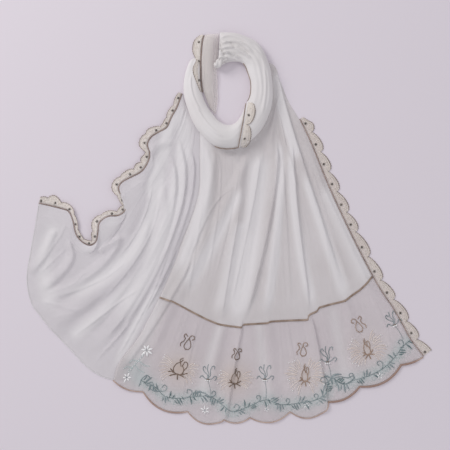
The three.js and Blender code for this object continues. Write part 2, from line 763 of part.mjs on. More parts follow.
const frontCells = frontGrid();
const borderCells = borderGrid();

// A strip that lies on other cloth: the same points, moved up
function raised(cell, gap, wall) {
  return plumb(cell.upper, cell.upper.z + gap, cell.upper.z + gap + wall);
}

function braidSolid() {
  const lines = [frontCells.at(-2), frontCells.at(-1), borderCells[0], borderCells[1]];
  return sheetSolid(lines.map((line) => line.map((cell) => raised(cell, REST_GAP, TRIM_WALL))));
}

const CORD_REACH = SEAM_GAP + CORD_RADIUS;
const LACE_REACH = CORD_REACH + CORD_RADIUS + SEAM_GAP;

// The middle height of an edge, never so low that its cord would sink below the surface
function edgeCentre(cell) {
  const z = Math.max((cell.upper.z + cell.lower.z) / 2, CORD_RADIUS);
  return { x: cell.upper.x, y: cell.upper.y, z };
}

function cordBeside(points) {
  const line = besideLine(points, CORD_REACH);
  return cordSolid(line.map((point) => new THREE.Vector3(point.x, point.y, point.z)));
}

function hemCordSolid() {
  const edge = borderCells.at(-1).map(edgeCentre);
  return cordBeside(edge);
}

// Divides an edge into short steps, each point with its distance along the edge
function alongEdge(points, step) {
  const result = [];
  let start = 0;
  for (let i = 0; i < points.length - 1; i += 1) {
    const a = points[i];
    const b = points[i + 1];
    const long = distance(a, b);
    const count = Math.max(1, Math.round(long / step));
    for (let n = 0; n < count; n += 1) {
      const f = n / count;
      const point = {};
      for (const key of Object.keys(a)) point[key] = mix(a[key], b[key], f);
      result.push({ ...point, along: start + long * f });
    }
    start += long;
  }
  return [...result, { ...points[points.length - 1], along: start }];
}

// Scalloped lace beside a corded edge. Its far side follows the edge at the lace's depth.
function laceBeside(points, depthAt, lowAt) {
  const near = besideLine(points, LACE_REACH);
  const rows = points.map((point, i) => {
    const far = besideLine(points, LACE_REACH + depthAt(point))[i];
    const low = lowAt(point);
    return [plumb(near[i], low, low + TRIM_WALL), plumb(far, low, low + TRIM_WALL)];
  });
  return sheetSolid(rows);
}

// The trimmed stretch of the right edge, from the hem up to where the edge folds under
function rightEdge() {
  const cells = [...frontCells.slice(0, -1), ...borderCells].map((row) => row.at(-1));
  return cells.map(edgeCentre).reverse().filter((point) => point.y < TRIM_TOP);
}

function rightLaceSolid() {
  const edge = alongEdge(rightEdge(), LACE_PITCH / LACE_STEPS);
  const depth = (point) => {
    const next = FRONT_LACE_CUSPS.findIndex((cusp) => cusp > point.along);
    const start = FRONT_LACE_CUSPS[next - 1];
    const part = (point.along - start) / (FRONT_LACE_CUSPS[next] - start);
    return LACE_DEPTH * scallopDepth(part ** FRONT_LACE_BEND);
  };
  return laceBeside(edge, depth, () => 0);
}

// The under end

const ruffleEdge = edgeThrough(RUFFLE);
const SMOOTHING_SAMPLES = 8;

// The ruffle's middle line: its own edge, averaged over a stretch on both sides
function ruffleMiddle(v) {
  const reach = Math.min(RUFFLE_SMOOTHING, v, 1 - v);
  let x = 0;
  let y = 0;
  for (let n = -SMOOTHING_SAMPLES; n <= SMOOTHING_SAMPLES; n += 1) {
    const point = ruffleEdge(v + (reach * n) / SMOOTHING_SAMPLES);
    x += point.x;
    y += point.y;
  }
  const count = 2 * SMOOTHING_SAMPLES + 1;
  return { x: x / count, y: y / count };
}

const underTop = (u) => wrapSide(mix(UNDER_TOP.fromRow, UNDER_TOP.toRow, u), TUCK);
const underHem = edgeThrough(UNDER_HEM);
const hiddenEdge = [...FRONT_LEFT, ...BORDER_LEFT];
const hiddenLine = besideLine(hiddenEdge.slice().reverse(), OVERLAP).reverse();
const underLeft = (v) => {
  const start = underTop(0);
  const raw = ruffleMiddle(v);
  const first = ruffleMiddle(0);
  return { x: raw.x + (start.x - first.x) * (1 - v), y: raw.y + (start.y - first.y) * (1 - v) };
};
const underRight = edgeThrough([underTop(1), ...hiddenLine, UNDER_HEM[UNDER_HEM.length - 1]]);

function underPoint(u, v) {
  const point = patchPoint(underTop, underHem, underLeft, underRight, u, v);
  const fromRight = distance(point, underRight(v));
  const fromTop = distance(point, underTop(u));
  const still = ease((fromRight - OVERLAP) / FREE_OF_RING) * ease(fromTop / FREE_OF_RING);
  const low = foldHeight(underFolds, point) * still;
  return plumb(point, low, low + PANEL_WALL);
}

// Columns crowd a little towards the ruffle, and the first one stands clear of its turns
function underGrid() {
  const rows = [];
  for (let j = 0; j <= UNDER_ROWS; j += 1) {
    const v = j / UNDER_ROWS;
    const wide = distance(underLeft(v), underRight(v));
    const first = Math.min(RUFFLE_INSET / wide, 0.5);
    const row = [underPoint(0, v)];
    for (let i = 0; i <= UNDER_COLUMNS; i += 1) row.push(underPoint(mix(first, 1, i / UNDER_COLUMNS), v));
    rows.push(row);
  }
  return rows;
}

function ruffleCells() {
  const count = UNDER_ROWS * RUFFLE_STEPS;
  const cells = [];
  for (let n = 0; n <= count; n += 1) {
    const point = ruffleEdge(n / count);
    cells.push({ ...plumb(point, point.lift, point.lift + PANEL_WALL), lace: point.lace });
  }
  return cells;
}

const underCells = underGrid();
const ruffle = ruffleCells();
const ruffleLine = alongEdge(
  ruffle.map((cell) => ({ ...edgeCentre(cell), lace: cell.lace })),
  Infinity,
);

function leftLaceSolid() {
  const low = (point) => Math.max(point.z - TRIM_WALL / 2, 0);
  return laceBeside(ruffleLine, (point) => point.lace * scallopDepth(point.along / LACE_PITCH), low);
}

// Trim of the neck ring

const INNER_ANGLE = Math.PI * 0.93;
const OUTER_ANGLE = Math.PI * 0.07;
const LACE_COLUMNS = 16;
const WRAP_LACE_DEPTH = 17;
const SEARCH_STEPS = 6;
const SEARCH_REACH = 0.01;

// The section and angle of the ring's skin right under or over a point in plan, found from the nearest sample
function wrapUnder(point) {
  const closer = (best, skin) => (distance(skin, point) < distance(best, point) ? skin : best);
  const nearest = wrapSkin.reduce(closer);
  let { row, angle } = nearest;
  const step = SEARCH_REACH;
  for (let n = 0; n < SEARCH_STEPS; n += 1) {
    const here = wrapPoint(row, angle);
    const byRow = wrapPoint(row + step, angle).sub(here).divideScalar(step);
    const byAngle = wrapPoint(row, angle + step).sub(here).divideScalar(step);
    const offX = point.x - here.x;
    const offY = point.y - here.y;
    const area = byRow.x * byAngle.y - byRow.y * byAngle.x;
    row += (offX * byAngle.y - offY * byAngle.x) / area;
    angle = clamp(angle + (byRow.x * offY - byRow.y * offX) / area, OUTER_ANGLE, INNER_ANGLE);
  }
  return { row, angle };
}

function wrapLaceSolid() {
  const edge = [];
  for (let i = 0; i <= LACE_COLUMNS; i += 1) {
    edge.push(wrapPoint(WRAP_SPLIT, mix(INNER_ANGLE, OUTER_ANGLE, i / LACE_COLUMNS)));
  }
  const line = alongEdge(edge.reverse(), Infinity);
  const total = line[line.length - 1].along;
  const near = CORD_RADIUS + SEAM_GAP + REST_GAP;
  const rows = line.map((point, i) => {
    const share = Math.sqrt(Math.abs(Math.sin((2 * Math.PI * point.along) / total)));
    const far = near + WRAP_LACE_DEPTH * mix(LACE_CUSP_SHARE, 1, share);
    return [near, mix(near, far, 0.5), far].map((away) => {
      const { row, angle } = wrapUnder(besideLine(line, away)[i]);
      const out = 2 * REST_GAP;
      return { upper: wrapOff(row, angle, out + TRIM_WALL), lower: wrapOff(row, angle, out) };
    });
  });
  return sheetSolid(rows);
}

const BOTTOM_CORD_ROW = 7;
const BOTTOM_CORD_STEP = 0.5;
const SKIN_REACH = 3;
const BAND_LACE_SHARES = [0, 0.33, 0.66, 1];

function wrapCordSolid() {
  const points = [];
  const out = CORD_RADIUS + REST_GAP;
  for (let i = 0; i <= LACE_COLUMNS; i += 1) {
    points.push(wrapOff(WRAP_SPLIT, mix(INNER_ANGLE, OUTER_ANGLE, i / LACE_COLUMNS), out));
  }
  for (let row = WRAP_SPLIT - BOTTOM_CORD_STEP; row >= BOTTOM_CORD_ROW; row -= BOTTOM_CORD_STEP) {
    points.push(wrapOff(row, OUTER_ANGLE, out));
  }
  return cordSolid(points);
}

// The band's left edge, with the height at which its trim starts and the depth of its lace
function bandEdge() {
  return BAND_LACE.map(({ row, depth }) => {
    const section = bandTrack(row);
    const z = Math.max(section.high * WRAP_CENTRE_SHARE, CORD_RADIUS);
    return { x: section.outerX, y: section.outerY, z, depth };
  });
}

// Across its depth the band's lace climbs over the ring, or comes down to the surface where the ring ends
function bandLaceSolid() {
  const edge = bandEdge();
  const rows = edge.map((point, i) => BAND_LACE_SHARES.map((part) => {
    const spot = besideLine(edge, LACE_REACH + point.depth * part)[i];
    const under = wrapHeightNear(spot, SKIN_REACH);
    const low = under > 0 ? under + REST_GAP : point.z * (1 - part);
    return plumb(spot, low, low + TRIM_WALL);
  }));
  return sheetSolid(rows);
}

const group = new THREE.Group();
group.add(
  sheetSolid(underCells, ruffle).mesh("under_panel", clothMaterial),
  leftLaceSolid().mesh("under_lace", laceMaterial),
  cordBeside(ruffleLine).mesh("under_lace_cord", goldMaterial),
  sheetSolid(frontCells).mesh("front_panel", clothMaterial),
  sheetSolid(borderCells).mesh("hem_border", sheerMaterial),
  braidSolid().mesh("border_braid", goldMaterial),
  hemCordSolid().mesh("hem_cord", goldMaterial),
  rightLaceSolid().mesh("front_lace", laceMaterial),
  cordBeside(rightEdge()).mesh("front_lace_cord", goldMaterial),
  wrapSolid(0, WRAP_SPLIT - WRAP_END_GAP).mesh("wrap_front", clothMaterial),
  wrapSolid(WRAP_SPLIT + WRAP_END_GAP, WRAP_ROWS.length - 1).mesh("wrap_back", clothMaterial),
  wrapLaceSolid().mesh("wrap_lace", laceMaterial),
  wrapCordSolid().mesh("wrap_lace_cord", goldMaterial),
  bandSolid().mesh("shoulder_band", clothMaterial),
  bandLaceSolid().mesh("band_lace", laceMaterial),
  cordBeside(bandEdge()).mesh("band_lace_cord", goldMaterial),
);

// The origin is under the middle of the garment
const middle = new THREE.Box3().setFromObject(group).getCenter(new THREE.Vector3());
group.position.set(-middle.x, -middle.y, 0);

export default group;
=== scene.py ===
"""Looks of a white chiffon hijab shawl, wound once round a neck opening and laid flat, seen from above.

Drawing tables are in millimetres, x to the right and y up, as the solids' source has them.
to_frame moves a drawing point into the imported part's frame, in metres.
"""

import math

import bpy
import numpy as np
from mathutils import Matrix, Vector
from mathutils.bvhtree import BVHTree


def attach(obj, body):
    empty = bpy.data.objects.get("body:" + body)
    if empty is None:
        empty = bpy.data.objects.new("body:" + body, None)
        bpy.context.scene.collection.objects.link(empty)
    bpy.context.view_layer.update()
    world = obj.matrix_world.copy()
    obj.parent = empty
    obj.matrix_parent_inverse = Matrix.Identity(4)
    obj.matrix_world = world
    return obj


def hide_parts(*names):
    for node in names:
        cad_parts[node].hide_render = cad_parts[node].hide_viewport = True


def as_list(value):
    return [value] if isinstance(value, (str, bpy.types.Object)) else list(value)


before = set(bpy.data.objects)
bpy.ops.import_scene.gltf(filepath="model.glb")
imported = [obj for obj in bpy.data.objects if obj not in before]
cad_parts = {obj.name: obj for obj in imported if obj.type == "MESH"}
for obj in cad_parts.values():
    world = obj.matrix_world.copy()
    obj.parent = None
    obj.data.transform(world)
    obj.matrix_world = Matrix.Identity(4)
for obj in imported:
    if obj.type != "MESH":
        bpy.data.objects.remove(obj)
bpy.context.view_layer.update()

# Sizes shared with the solids
MIDDLE = (-1.789093, -1.345169)
PANEL_WALL = 2.0
REST_GAP = 0.4
SEAM_GAP = 0.3
CORD_RADIUS = 1.4
OVERLAP = 24.0
LACE_DEPTH = 18.0
LACE_CUSP_SHARE = 0.3
TRIM_TOP = 214.0
TUCK = 2.0
FREE_OF_RING = 18.0
FLAT_EDGE = 16.0
LIFT_MARGIN = 8.0
LIFT_FADE = 16.0
LIFT = PANEL_WALL + REST_GAP
RUFFLE_SMOOTHING = 0.16
FOLD_SAMPLES = 16
FOLD_RISE = 0.16
WRAP_SPLIT = 10.0
WRAP_CENTRE_SHARE = 0.42
WRAP_UNDER_SHARE = 0.5
INNER_ANGLE = math.pi * 0.93
OUTER_ANGLE = math.pi * 0.07
WRAP_LACE_DEPTH = 17.0
BOTTOM_CORD_ROW = 7.0
CORD_REACH = SEAM_GAP + CORD_RADIUS
LACE_REACH = CORD_REACH + CORD_RADIUS + SEAM_GAP

# Sizes of the looks. Fold, crease and under shares are of the heights that the tables give, a cusp share is
# of the lace's depth, and grids are columns and rows.
CLOTH = 0.45
CLOTH_REST = 0.5
PIPING_RADIUS = 0.9
FOLD_SHARE = 0.62
CREASE_SHARE = 0.85
SHARPNESS = 1.6
UNDER_SHARE = 0.75
GATHERED_PITCH = 28.0
GATHERED_CUSP_SHARE = 0.55
HEM_ROLL_RADIUS = 0.9
HEM_RADIUS = 1.15
HEM_GROWTH = 0.9
HEM_FADE = 12.0
BORDER_LOW = 0.6
BRAID_COLUMNS = 260
BRAID_LIFT = 0.7
BRAID_RIDGE = 0.3
BRAID_TURN = 1.9
FRONT_GRID = (230, 190)
BORDER_GRID = (260, 64)
UNDER_GRID = (190, 190)
WRAP_GRID = (110, 130)
BAND_GRID = (64, 80)

# Half the floor, the height that rays fall from, and the camera, in metres but for its lens and sensor
FLOOR_HALF = 3.0
RAY_START = 0.08
CAMERA_HEIGHT = 2.072
CAMERA_AIM = (-0.0070, 0.0082)
CAMERA_LENS = 85.0
CAMERA_SENSOR = 36.0

# Neck ring: inner x, inner y, outer x, outer y and height of each section
WRAP_ROWS = [
    (-61, 332, -70, 332, 3), (-58, 321, -79, 323, 9), (-58, 293, -88, 293, 13),
    (-55, 266, -89, 262, 17), (-44, 239, -81, 231, 21), (-30, 219, -68, 201, 24),
    (-17, 206, -50, 178, 26), (-3, 201, -28, 160, 27), (11, 205, -11, 155, 27), (22, 219, 3, 155, 27),
    (34, 245, 19, 158, 27), (39, 256, 44, 173, 27), (41, 270, 67, 200, 27), (40, 286, 82, 241, 27),
    (35, 301, 83, 282, 27), (29, 316, 76, 321, 26), (19, 323, 56, 359, 24), (-1, 323, 17, 378, 22),
    (-19, 315, -15, 381, 19), (-23, 309, -19.5, 378, 12),
]

# Gathers along the ring: share across from the inner side, first and last row, height and width
GATHERS = [
    (0.3, 2, 9, 1.6, 0.09),
    (0.68, 3, 9.6, 1.4, 0.08),
    (0.5, 5, 9, 1.2, 0.06),
    (0.2, 15, 19, 2.4, 0.06),
    (0.36, 14.5, 19, 2.6, 0.06),
    (0.52, 12, 19, 2.6, 0.07),
    (0.68, 15, 19, 2.4, 0.06),
    (0.84, 12, 18.6, 2.2, 0.06),
    (0.3, 11, 15, 1.8, 0.08),
]

# Shoulder band, in the same columns as the ring
BAND_ROWS = [
    (-21, 380, -47, 377, 5), (-21.2, 372, -50, 370, 11), (-21.8, 358, -52, 358, 13),
    (-23, 332, -54, 332, 11), (-24.5, 309, -54, 309, 9), (-23, 286, -53.5, 286, 7),
    (-23, 266, -50.5, 266, 5), (-23, 249, -45, 251, 3.5), (-27, 222, -39, 235, 2.2),
]

# Lace of the band: section number and depth
BAND_LACE = [
    (0.2, 2), (0.9, 8), (1.6, 14), (2.1, 16), (2.6, 15), (3.2, 7), (3.4, 8), (3.8, 13), (4.3, 13),
    (4.8, 9), (5.4, 5), (6, 2),
]

# Cusps of the front end's lace, by distance up its edge from the hem. The bend draws each peak to the hem.
FRONT_LACE_CUSPS = [-15, 35, 77, 125, 171, 224, 278, 320, 365, 408, 449, 491, 540]
FRONT_LACE_BEND = 0.63

# First and last section of the ring along the front end's top, and how its cloth crowds between them
FRONT_TOP = (5.5, 15.1, 0.6)
FRONT_LEFT = [(-58, 134), (-58, 87), (-63, 56), (-77, 13), (-91, -22), (-106, -65), (-124, -108)]
FRONT_RIGHT = [
    (88, 317), (98, 290), (114, 250), (137, 210), (159, 163), (190, 87), (223, 15), (251, -42),
]

# The seam line, with the small steps that the pleats give it
BRAID_LINE = [
    (-136, -134), (-110, -142), (-77, -160), (-44, -177), (-22, -186), (1, -190), (22, -192),
    (26, -187), (75, -184), (79, -181), (118, -179), (151, -178), (153, -169), (171, -161), (174, -154),
    (196, -148), (225, -141), (239, -130), (254, -120), (266, -108), (278, -94),
]
BORDER_LEFT = [(-159, -178), (-178, -212), (-204, -245), (-219, -268)]
BORDER_RIGHT = [(297, -126), (317, -155), (336, -188), (352, -217)]

# Scalloped hem: cusp x, cusp y, and how far the scallop that starts there hangs below its chord
HEM_CUSPS = [
    (-226, -295, 7), (-168, -317, 17), (-81, -356, 13), (-17, -376, 0), (-13, -371, 9), (40, -368, 15),
    (118, -356, 14), (186, -354, 0), (190, -337, 10), (253, -307, 15), (334, -265, 3), (377, -250, 0),
]

# Stretches where the hem's satin edge is thicker: first and last x, and how much
HEM_STRETCHES = [(188, 372, 0.9), (-170, -84, 0.45), (-226, -190, 0.2)]

# Folds: start, middle and end of the crest, height, half width at both ends, share of that width on the
# side away from the light, and how far the crest leans to that side
FRONT_FOLDS = [
    ((40, 153), (-15, 32), (-100, -134), 6, 12, 20, 1, 0),
    ((32, 153), (7, -22), (-22, -198), 5, 10, 18, 1, 0),
    ((89, 176), (75, 26), (20, -198), 9, 14, 22, 0.5, 4),
    ((112, 153), (93, 7), (63, -198), 5, 9, 18, 1, 0),
    ((118, 173), (128, 26), (155, -178), 8, 12, 20, 0.45, 5),
    ((87, 310), (130, 153), (225, -139), 8, 9, 22, 0.5, 4),
    ((97, 266), (83, 196), (79, 134), 5, 8, 10, 1, 0),
    ((137, 190), (225, -10), (310, -178), 4, 12, 34, 1, 0),
    ((-30, 153), (-36, 75), (-65, -61), 5, 9, 18, 1, 0),
    ((-50, 160), (-46, 56), (-120, -139), 5, 8, 16, 1, 0),
    ((5, 150), (20, 75), (13, -22), 3, 14, 20, 1, 0),
    ((63, 153), (48, 75), (32, -22), 4, 10, 16, 1, 0),
    ((-65, -42), (-136, -169), (-216, -282), 5, 9, 14, 0.6, 1),
    ((-106, -139), (-136, -208), (-160, -325), 3, 12, 22, 1, 0),
    ((-7, -170), (-30, -276), (-50, -390), 4, 12, 22, 1, 0),
    ((24, -170), (4, -276), (-15, -392), 7, 12, 20, 0.5, 4),
    ((75, -165), (83, -276), (87, -390), 4, 12, 24, 1, 0),
    ((153, -160), (173, -266), (189, -372), 8, 14, 20, 0.45, 5),
    ((225, -125), (242, -217), (256, -330), 4, 12, 24, 1, 0),
]

# Finer folds that only the looks have, in the same columns
FRONT_CREASES = [
    ((17, 75), (-38, 32), (-101, -134), 1.6, 4, 5, 0.5, 0.6),
    ((19, 32), (2, -65), (-17, -185), 1.8, 4, 6, 0.5, 0.8),
    ((60, 140), (40, 20), (-5, -180), 1.4, 5, 7, 0.6, 0.4),
    ((150, 150), (190, 20), (240, -125), 1.4, 6, 9, 0.7, 0.3),
    ((125, 170), (170, 40), (205, -150), 1.3, 5, 8, 0.7, 0.3),
    ((-25, 150), (-20, 60), (-50, -120), 1.3, 5, 8, 0.6, 0.3),
    ((100, 160), (108, 60), (120, -175), 1.3, 5, 8, 0.6, 0.4),
    ((-40, 140), (-60, 0), (-85, -150), 1.4, 5, 8, 0.6, 0.3),
    ((165, 120), (235, -30), (285, -140), 1.2, 7, 10, 0.7, 0.2),
    ((93, 235), (110, 160), (128, 60), 1.6, 4, 6, 0.5, 0.6),
    ((20, 140), (5, 40), (-30, -100), 1.2, 5, 7, 0.6, 0.3),
    ((-60, -175), (-80, -260), (-95, -350), 1.4, 6, 9, 0.6, 0.3),
    ((110, -175), (125, -260), (135, -350), 1.4, 6, 9, 0.6, 0.3),
    ((260, -100), (295, -170), (320, -250), 1.2, 6, 9, 0.6, 0.3),
]

# Under end's trimmed edge: x, y, how high the edge stands, and how deep its lace shows
RUFFLE = [
    (-91, 263, 0, 7), (-101, 235, 3, 9), (-112, 215, 4, 10), (-121, 196, 4, 9), (-136, 187, 3, 11),
    (-151, 177, 5, 16), (-158, 163, 6, 15), (-154, 149, 4, 9), (-156, 132, 4, 14), (-169, 111, 5, 16),
    (-190, 99, 4, 14), (-208, 89, 6, 13), (-214, 78, 7, 12), (-207, 63, 5, 8), (-198, 48, 3, 9),
    (-203, 33, 4, 10), (-216, 24, 5, 9), (-236, 22, 6, 9), (-251, 11, 8, 12), (-254, -7, 9, 12),
    (-258, -26, 8, 8), (-271, -34, 5, 7), (-288, -27, 3, 6), (-300, -12, 3, 6), (-306, 14, 5, 6),
    (-314, 32, 5, 9), (-330, 38, 3, 14), (-350, 43, 1, 20), (-372, 48, 0, 10),
]
RUFFLE_FADE = 55.0

# First and last section of the ring along the under end's top
UNDER_TOP = (3.1, 6.1)
UNDER_HEM = [
    (-372, 48), (-378, 7), (-387, -42), (-395, -97), (-387, -143), (-370, -169), (-346, -198),
    (-311, -235), (-282, -266), (-256, -285), (-230, -294), (-205, -292),
]
UNDER_FOLDS = [
    ((-340, 0), (-358, -42), (-392, -93), 5, 12, 18, 0.8, 0.5),
    ((-319, -22), (-311, -65), (-370, -122), 6, 12, 18, 0.7, 1),
    ((-212, -11), (-256, -77), (-360, -142), 6, 14, 20, 0.8, 0.5),
    ((-155, 26), (-214, -91), (-356, -190), 8, 16, 28, 0.8, 1),
    ((-136, 95), (-155, -42), (-316, -228), 6, 14, 24, 0.8, 1),
    ((-120, 153), (-128, -13), (-266, -246), 7, 12, 22, 0.6, 2),
    ((-104, 182), (-106, 7), (-233, -225), 6, 9, 20, 0.6, 2),
    ((-80, 160), (-85, 27), (-182, -188), 5, 9, 14, 0.6, 2),
    ((-253, -50), (-233, -32), (-206, -15), 5, 10, 10, 1, 0),
    ((-175, 100), (-178, 56), (-210, -15), 4, 14, 20, 1, 0),
    ((-155, 130), (-136, 150), (-112, 173), 4, 11, 11, 1, 0),
]
UNDER_CREASES = [
    ((-81, 28), (-98, -30), (-175, -184), 1.8, 4, 6, 0.5, 1),
    ((-60, 90), (-75, 20), (-150, -130), 1.5, 4, 6, 0.5, 0.8),
    ((-176, -116), (-223, -149), (-311, -217), 1.5, 4, 6, 0.5, 0.6),
    ((-204, -169), (-218, -186), (-233, -204), 1.4, 4, 5, 0.5, 0.5),
    ((-326, 0), (-340, -30), (-383, -85), 1.4, 5, 7, 0.6, 0.4),
    ((-317, -38), (-340, -60), (-373, -90), 1.2, 5, 7, 0.6, 0.4),
    ((-198, -58), (-252, -101), (-340, -134), 1.4, 5, 8, 0.6, 0.4),
    ((-252, -42), (-232, -29), (-211, -17), 1.6, 5, 5, 0.5, 0.6),
    ((-90, 150), (-92, 60), (-140, -80), 1.4, 5, 7, 0.6, 0.5),
    ((-136, 60), (-170, -40), (-260, -150), 1.3, 5, 8, 0.6, 0.3),
    ((-370, -140), (-330, -150), (-290, -160), 1.2, 7, 8, 0.8, 0),
    ((-250, -240), (-220, -215), (-190, -170), 1.4, 6, 7, 0.6, 0.4),
    ((-280, -80), (-310, -110), (-360, -125), 1.1, 6, 8, 0.7, 0.2),
    ((-117, -40), (-165, -154), (-222, -256), 1.8, 4, 5, 0.5, 0.6),
    ((-150, 90), (-172, 10), (-222, -62), 1.3, 5, 7, 0.6, 0.3),
    ((-190, -180), (-222, -216), (-262, -262), 1.4, 5, 6, 0.6, 0.4),
]

# Stretches where sheer cloth lies double, in the columns of the folds, with strength in place of height
FRONT_DOUBLES = [
    ((25, 85), (-23, -13), (-95, -128), 0.7, 16, 28, 1, 0),
    ((60, 165), (42, -13), (6, -200), 0.9, 30, 36, 1, 0),
    ((20, 20), (5, -60), (-30, -185), 0.5, 20, 24, 1, 0),
    ((94, 180), (96, 31), (68, -190), 0.9, 12, 17, 1, 0),
    ((118, 170), (132, -3), (168, -170), 0.8, 12, 20, 1, 0),
    ((140, 120), (186, -17), (232, -150), 0.8, 12, 22, 1, 0),
    ((180, 90), (224, 0), (280, -120), 0.6, 22, 34, 1, 0),
    ((-68, 216), (-50, 70), (-108, -100), 0.9, 26, 22, 1, 0),
    ((92, 310), (102, 235), (140, 120), 0.9, 13, 17, 1, 0),
    ((-12, -170), (-40, -260), (-60, -350), 0.45, 16, 22, 1, 0),
    ((56, -170), (64, -250), (72, -340), 0.4, 16, 20, 1, 0),
    ((200, -140), (215, -230), (235, -320), 0.35, 18, 24, 1, 0),
    ((-136, -120), (-160, -200), (-200, -270), 0.5, 24, 30, 1, 0),
]
UNDER_DOUBLES = [
    ((-94, 262), (-112, 40), (-228, -200), 0.9, 24, 26, 1, 0),
    ((-114, 240), (-128, 150), (-160, 50), 0.8, 18, 26, 1, 0),
    ((-140, 120), (-185, -40), (-345, -140), 0.7, 24, 26, 1, 0),
    ((-160, -80), (-248, -164), (-315, -218), 0.7, 18, 22, 1, 0),
    ((-130, -110), (-176, -178), (-226, -285), 0.8, 13, 16, 1, 0),
    ((-330, 20), (-362, -70), (-340, -170), 0.6, 24, 28, 1, 0),
    ((-210, 60), (-240, 0), (-300, -50), 0.4, 18, 22, 1, 0),
]


def mix(a, b, f):
    return a + (b - a) * f


def ease(value):
    t = np.clip(value, 0.0, 1.0)
    return t * t * (3.0 - 2.0 * t)


def unit(vectors):
    return vectors / np.maximum(np.linalg.norm(vectors, axis=-1, keepdims=True), 1e-9)


def between(a, b):
    return np.linalg.norm(a - b, axis=-1)


def raised(plan, z):
    """Plan points with their heights beside them."""
    return np.concatenate([plan, z[..., None]], axis=-1)


def to_frame(points):
    """Drawing points in millimetres, moved into the part's frame in metres."""
    points = np.array(points, float)
    points[..., :2] -= MIDDLE
    return points * 0.001


def to_drawing(points):
    points = np.array(points, float) * 1000.0
    points[..., :2] += MIDDLE
    return points


def track(rows, stations):
    """A smooth line through table rows that stand at the given stations."""
    stations = np.asarray(stations, float)
    rows = np.asarray(rows, float)
    count = len(rows)
    before = np.maximum(np.arange(count) - 1, 0)
    after = np.minimum(np.arange(count) + 1, count - 1)
    slope = (rows[after] - rows[before]) / (stations[after] - stations[before])[:, None]

    def at(station):
        s = np.clip(np.asarray(station, float), stations[0], stations[-1])
        i = np.clip(np.searchsorted(stations, s, side="right") - 1, 0, count - 2)
        span = (stations[i + 1] - stations[i])[..., None]
        f = (s - stations[i])[..., None] / span
        return (
            rows[i] * (2 * f**3 - 3 * f**2 + 1)
            + slope[i] * span * (f**3 - 2 * f**2 + f)
            + rows[i + 1] * (3 * f**2 - 2 * f**3)
            + slope[i + 1] * span * (f**3 - f**2)
        )

    return at


def lengths(points, axes=2):
    """Distance along a line to each of its points, in plan or in space."""
    points = np.asarray(points, float)[:, :axes]
    return np.concatenate([[0.0], np.cumsum(between(points[1:], points[:-1]))])


def read_line(at, stations, points):
    """A line's points at the given distances."""
    return np.stack([np.interp(at, stations, column) for column in points.T], axis=-1)


def edge_through(points):
    """A smooth line in plan, with stations from 0 to 1 by distance."""
    along = lengths(points)
    return track(points, along / along[-1])


def smoothed(points, reach):
    """Each point's mean with its neighbours up to reach steps away."""
    width = 2 * reach + 1
    padded = np.concatenate([np.repeat(points[:1], reach, 0), points, np.repeat(points[-1:], reach, 0)])
    total = np.cumsum(np.concatenate([np.zeros((1, points.shape[1])), padded]), axis=0)
    return (total[width:] - total[:-width]) / width


def bent_line(points, blur, steps=800):
    """Straight lengths between the points with their corners rounded a little, from 0 to 1 by distance."""
    along = lengths(points)
    at = np.linspace(0, along[-1], steps)
    line = read_line(at, along, np.asarray(points, float))
    smooth = smoothed(line, max(1, int(blur / (along[-1] / steps))))
    smooth[0], smooth[-1] = line[0], line[-1]
    return lambda station: read_line(station, at / along[-1], smooth)


def resample(points, step):
    """Points at an even distance along a line, and that distance for each."""
    points = np.asarray(points, float)
    along = lengths(points, 3)
    at = np.linspace(0, along[-1], max(2, int(round(along[-1] / step)) + 1))
    return read_line(at, along, points), at


def beside(points, away, smooth=0):
    """The line at a distance to the right of a line's direction in plan."""
    points = np.array(points, float)
    tangent = np.gradient(points[:, :2], axis=0)
    tangent = unit(smoothed(tangent, smooth) if smooth else tangent)
    points[:, 0] += tangent[:, 1] * away
    points[:, 1] -= tangent[:, 0] * away
    return points


def noise(seed, columns, rows):
    """Smooth random heights from -1 to 1 over a square cut into columns and rows."""
    table = np.random.default_rng(seed).uniform(-1, 1, (rows + 2, columns + 2))

    def at(x, y):
        gx = np.clip(x, 0, 1) * columns
        gy = np.clip(y, 0, 1) * rows
        i = gx.astype(int)
        j = gy.astype(int)
        fx = ease(gx - i)
        upper = mix(table[j, i], table[j, i + 1], fx)
        lower = mix(table[j + 1, i], table[j + 1, i + 1], fx)
        return mix(upper, lower, ease(gy - j))

    return at


def patch(top, bottom, left, right, u, v):
    """Cloth between four edges that meet at its corners, in plan."""
    def plan(line, at):
        return line(np.asarray(at, float))[..., :2]

    across = u[..., None]
    down = v[..., None]
    ruled = mix(plan(top, u), plan(bottom, u), down) + mix(plan(left, v), plan(right, v), across)
    upper = mix(plan(top, 0), plan(top, 1), across)
    lower = mix(plan(bottom, 0), plan(bottom, 1), across)
    return ruled - mix(upper, lower, down)


def crest_line(start, through, end):
    t = np.linspace(0, 1, FOLD_SAMPLES + 1)[:, None]
    start, through, end = (np.asarray(p, float) for p in (start, through, end))
    bend = 2 * through - (start + end) / 2
    return (1 - t) ** 2 * start + 2 * t * (1 - t) * bend + t * t * end


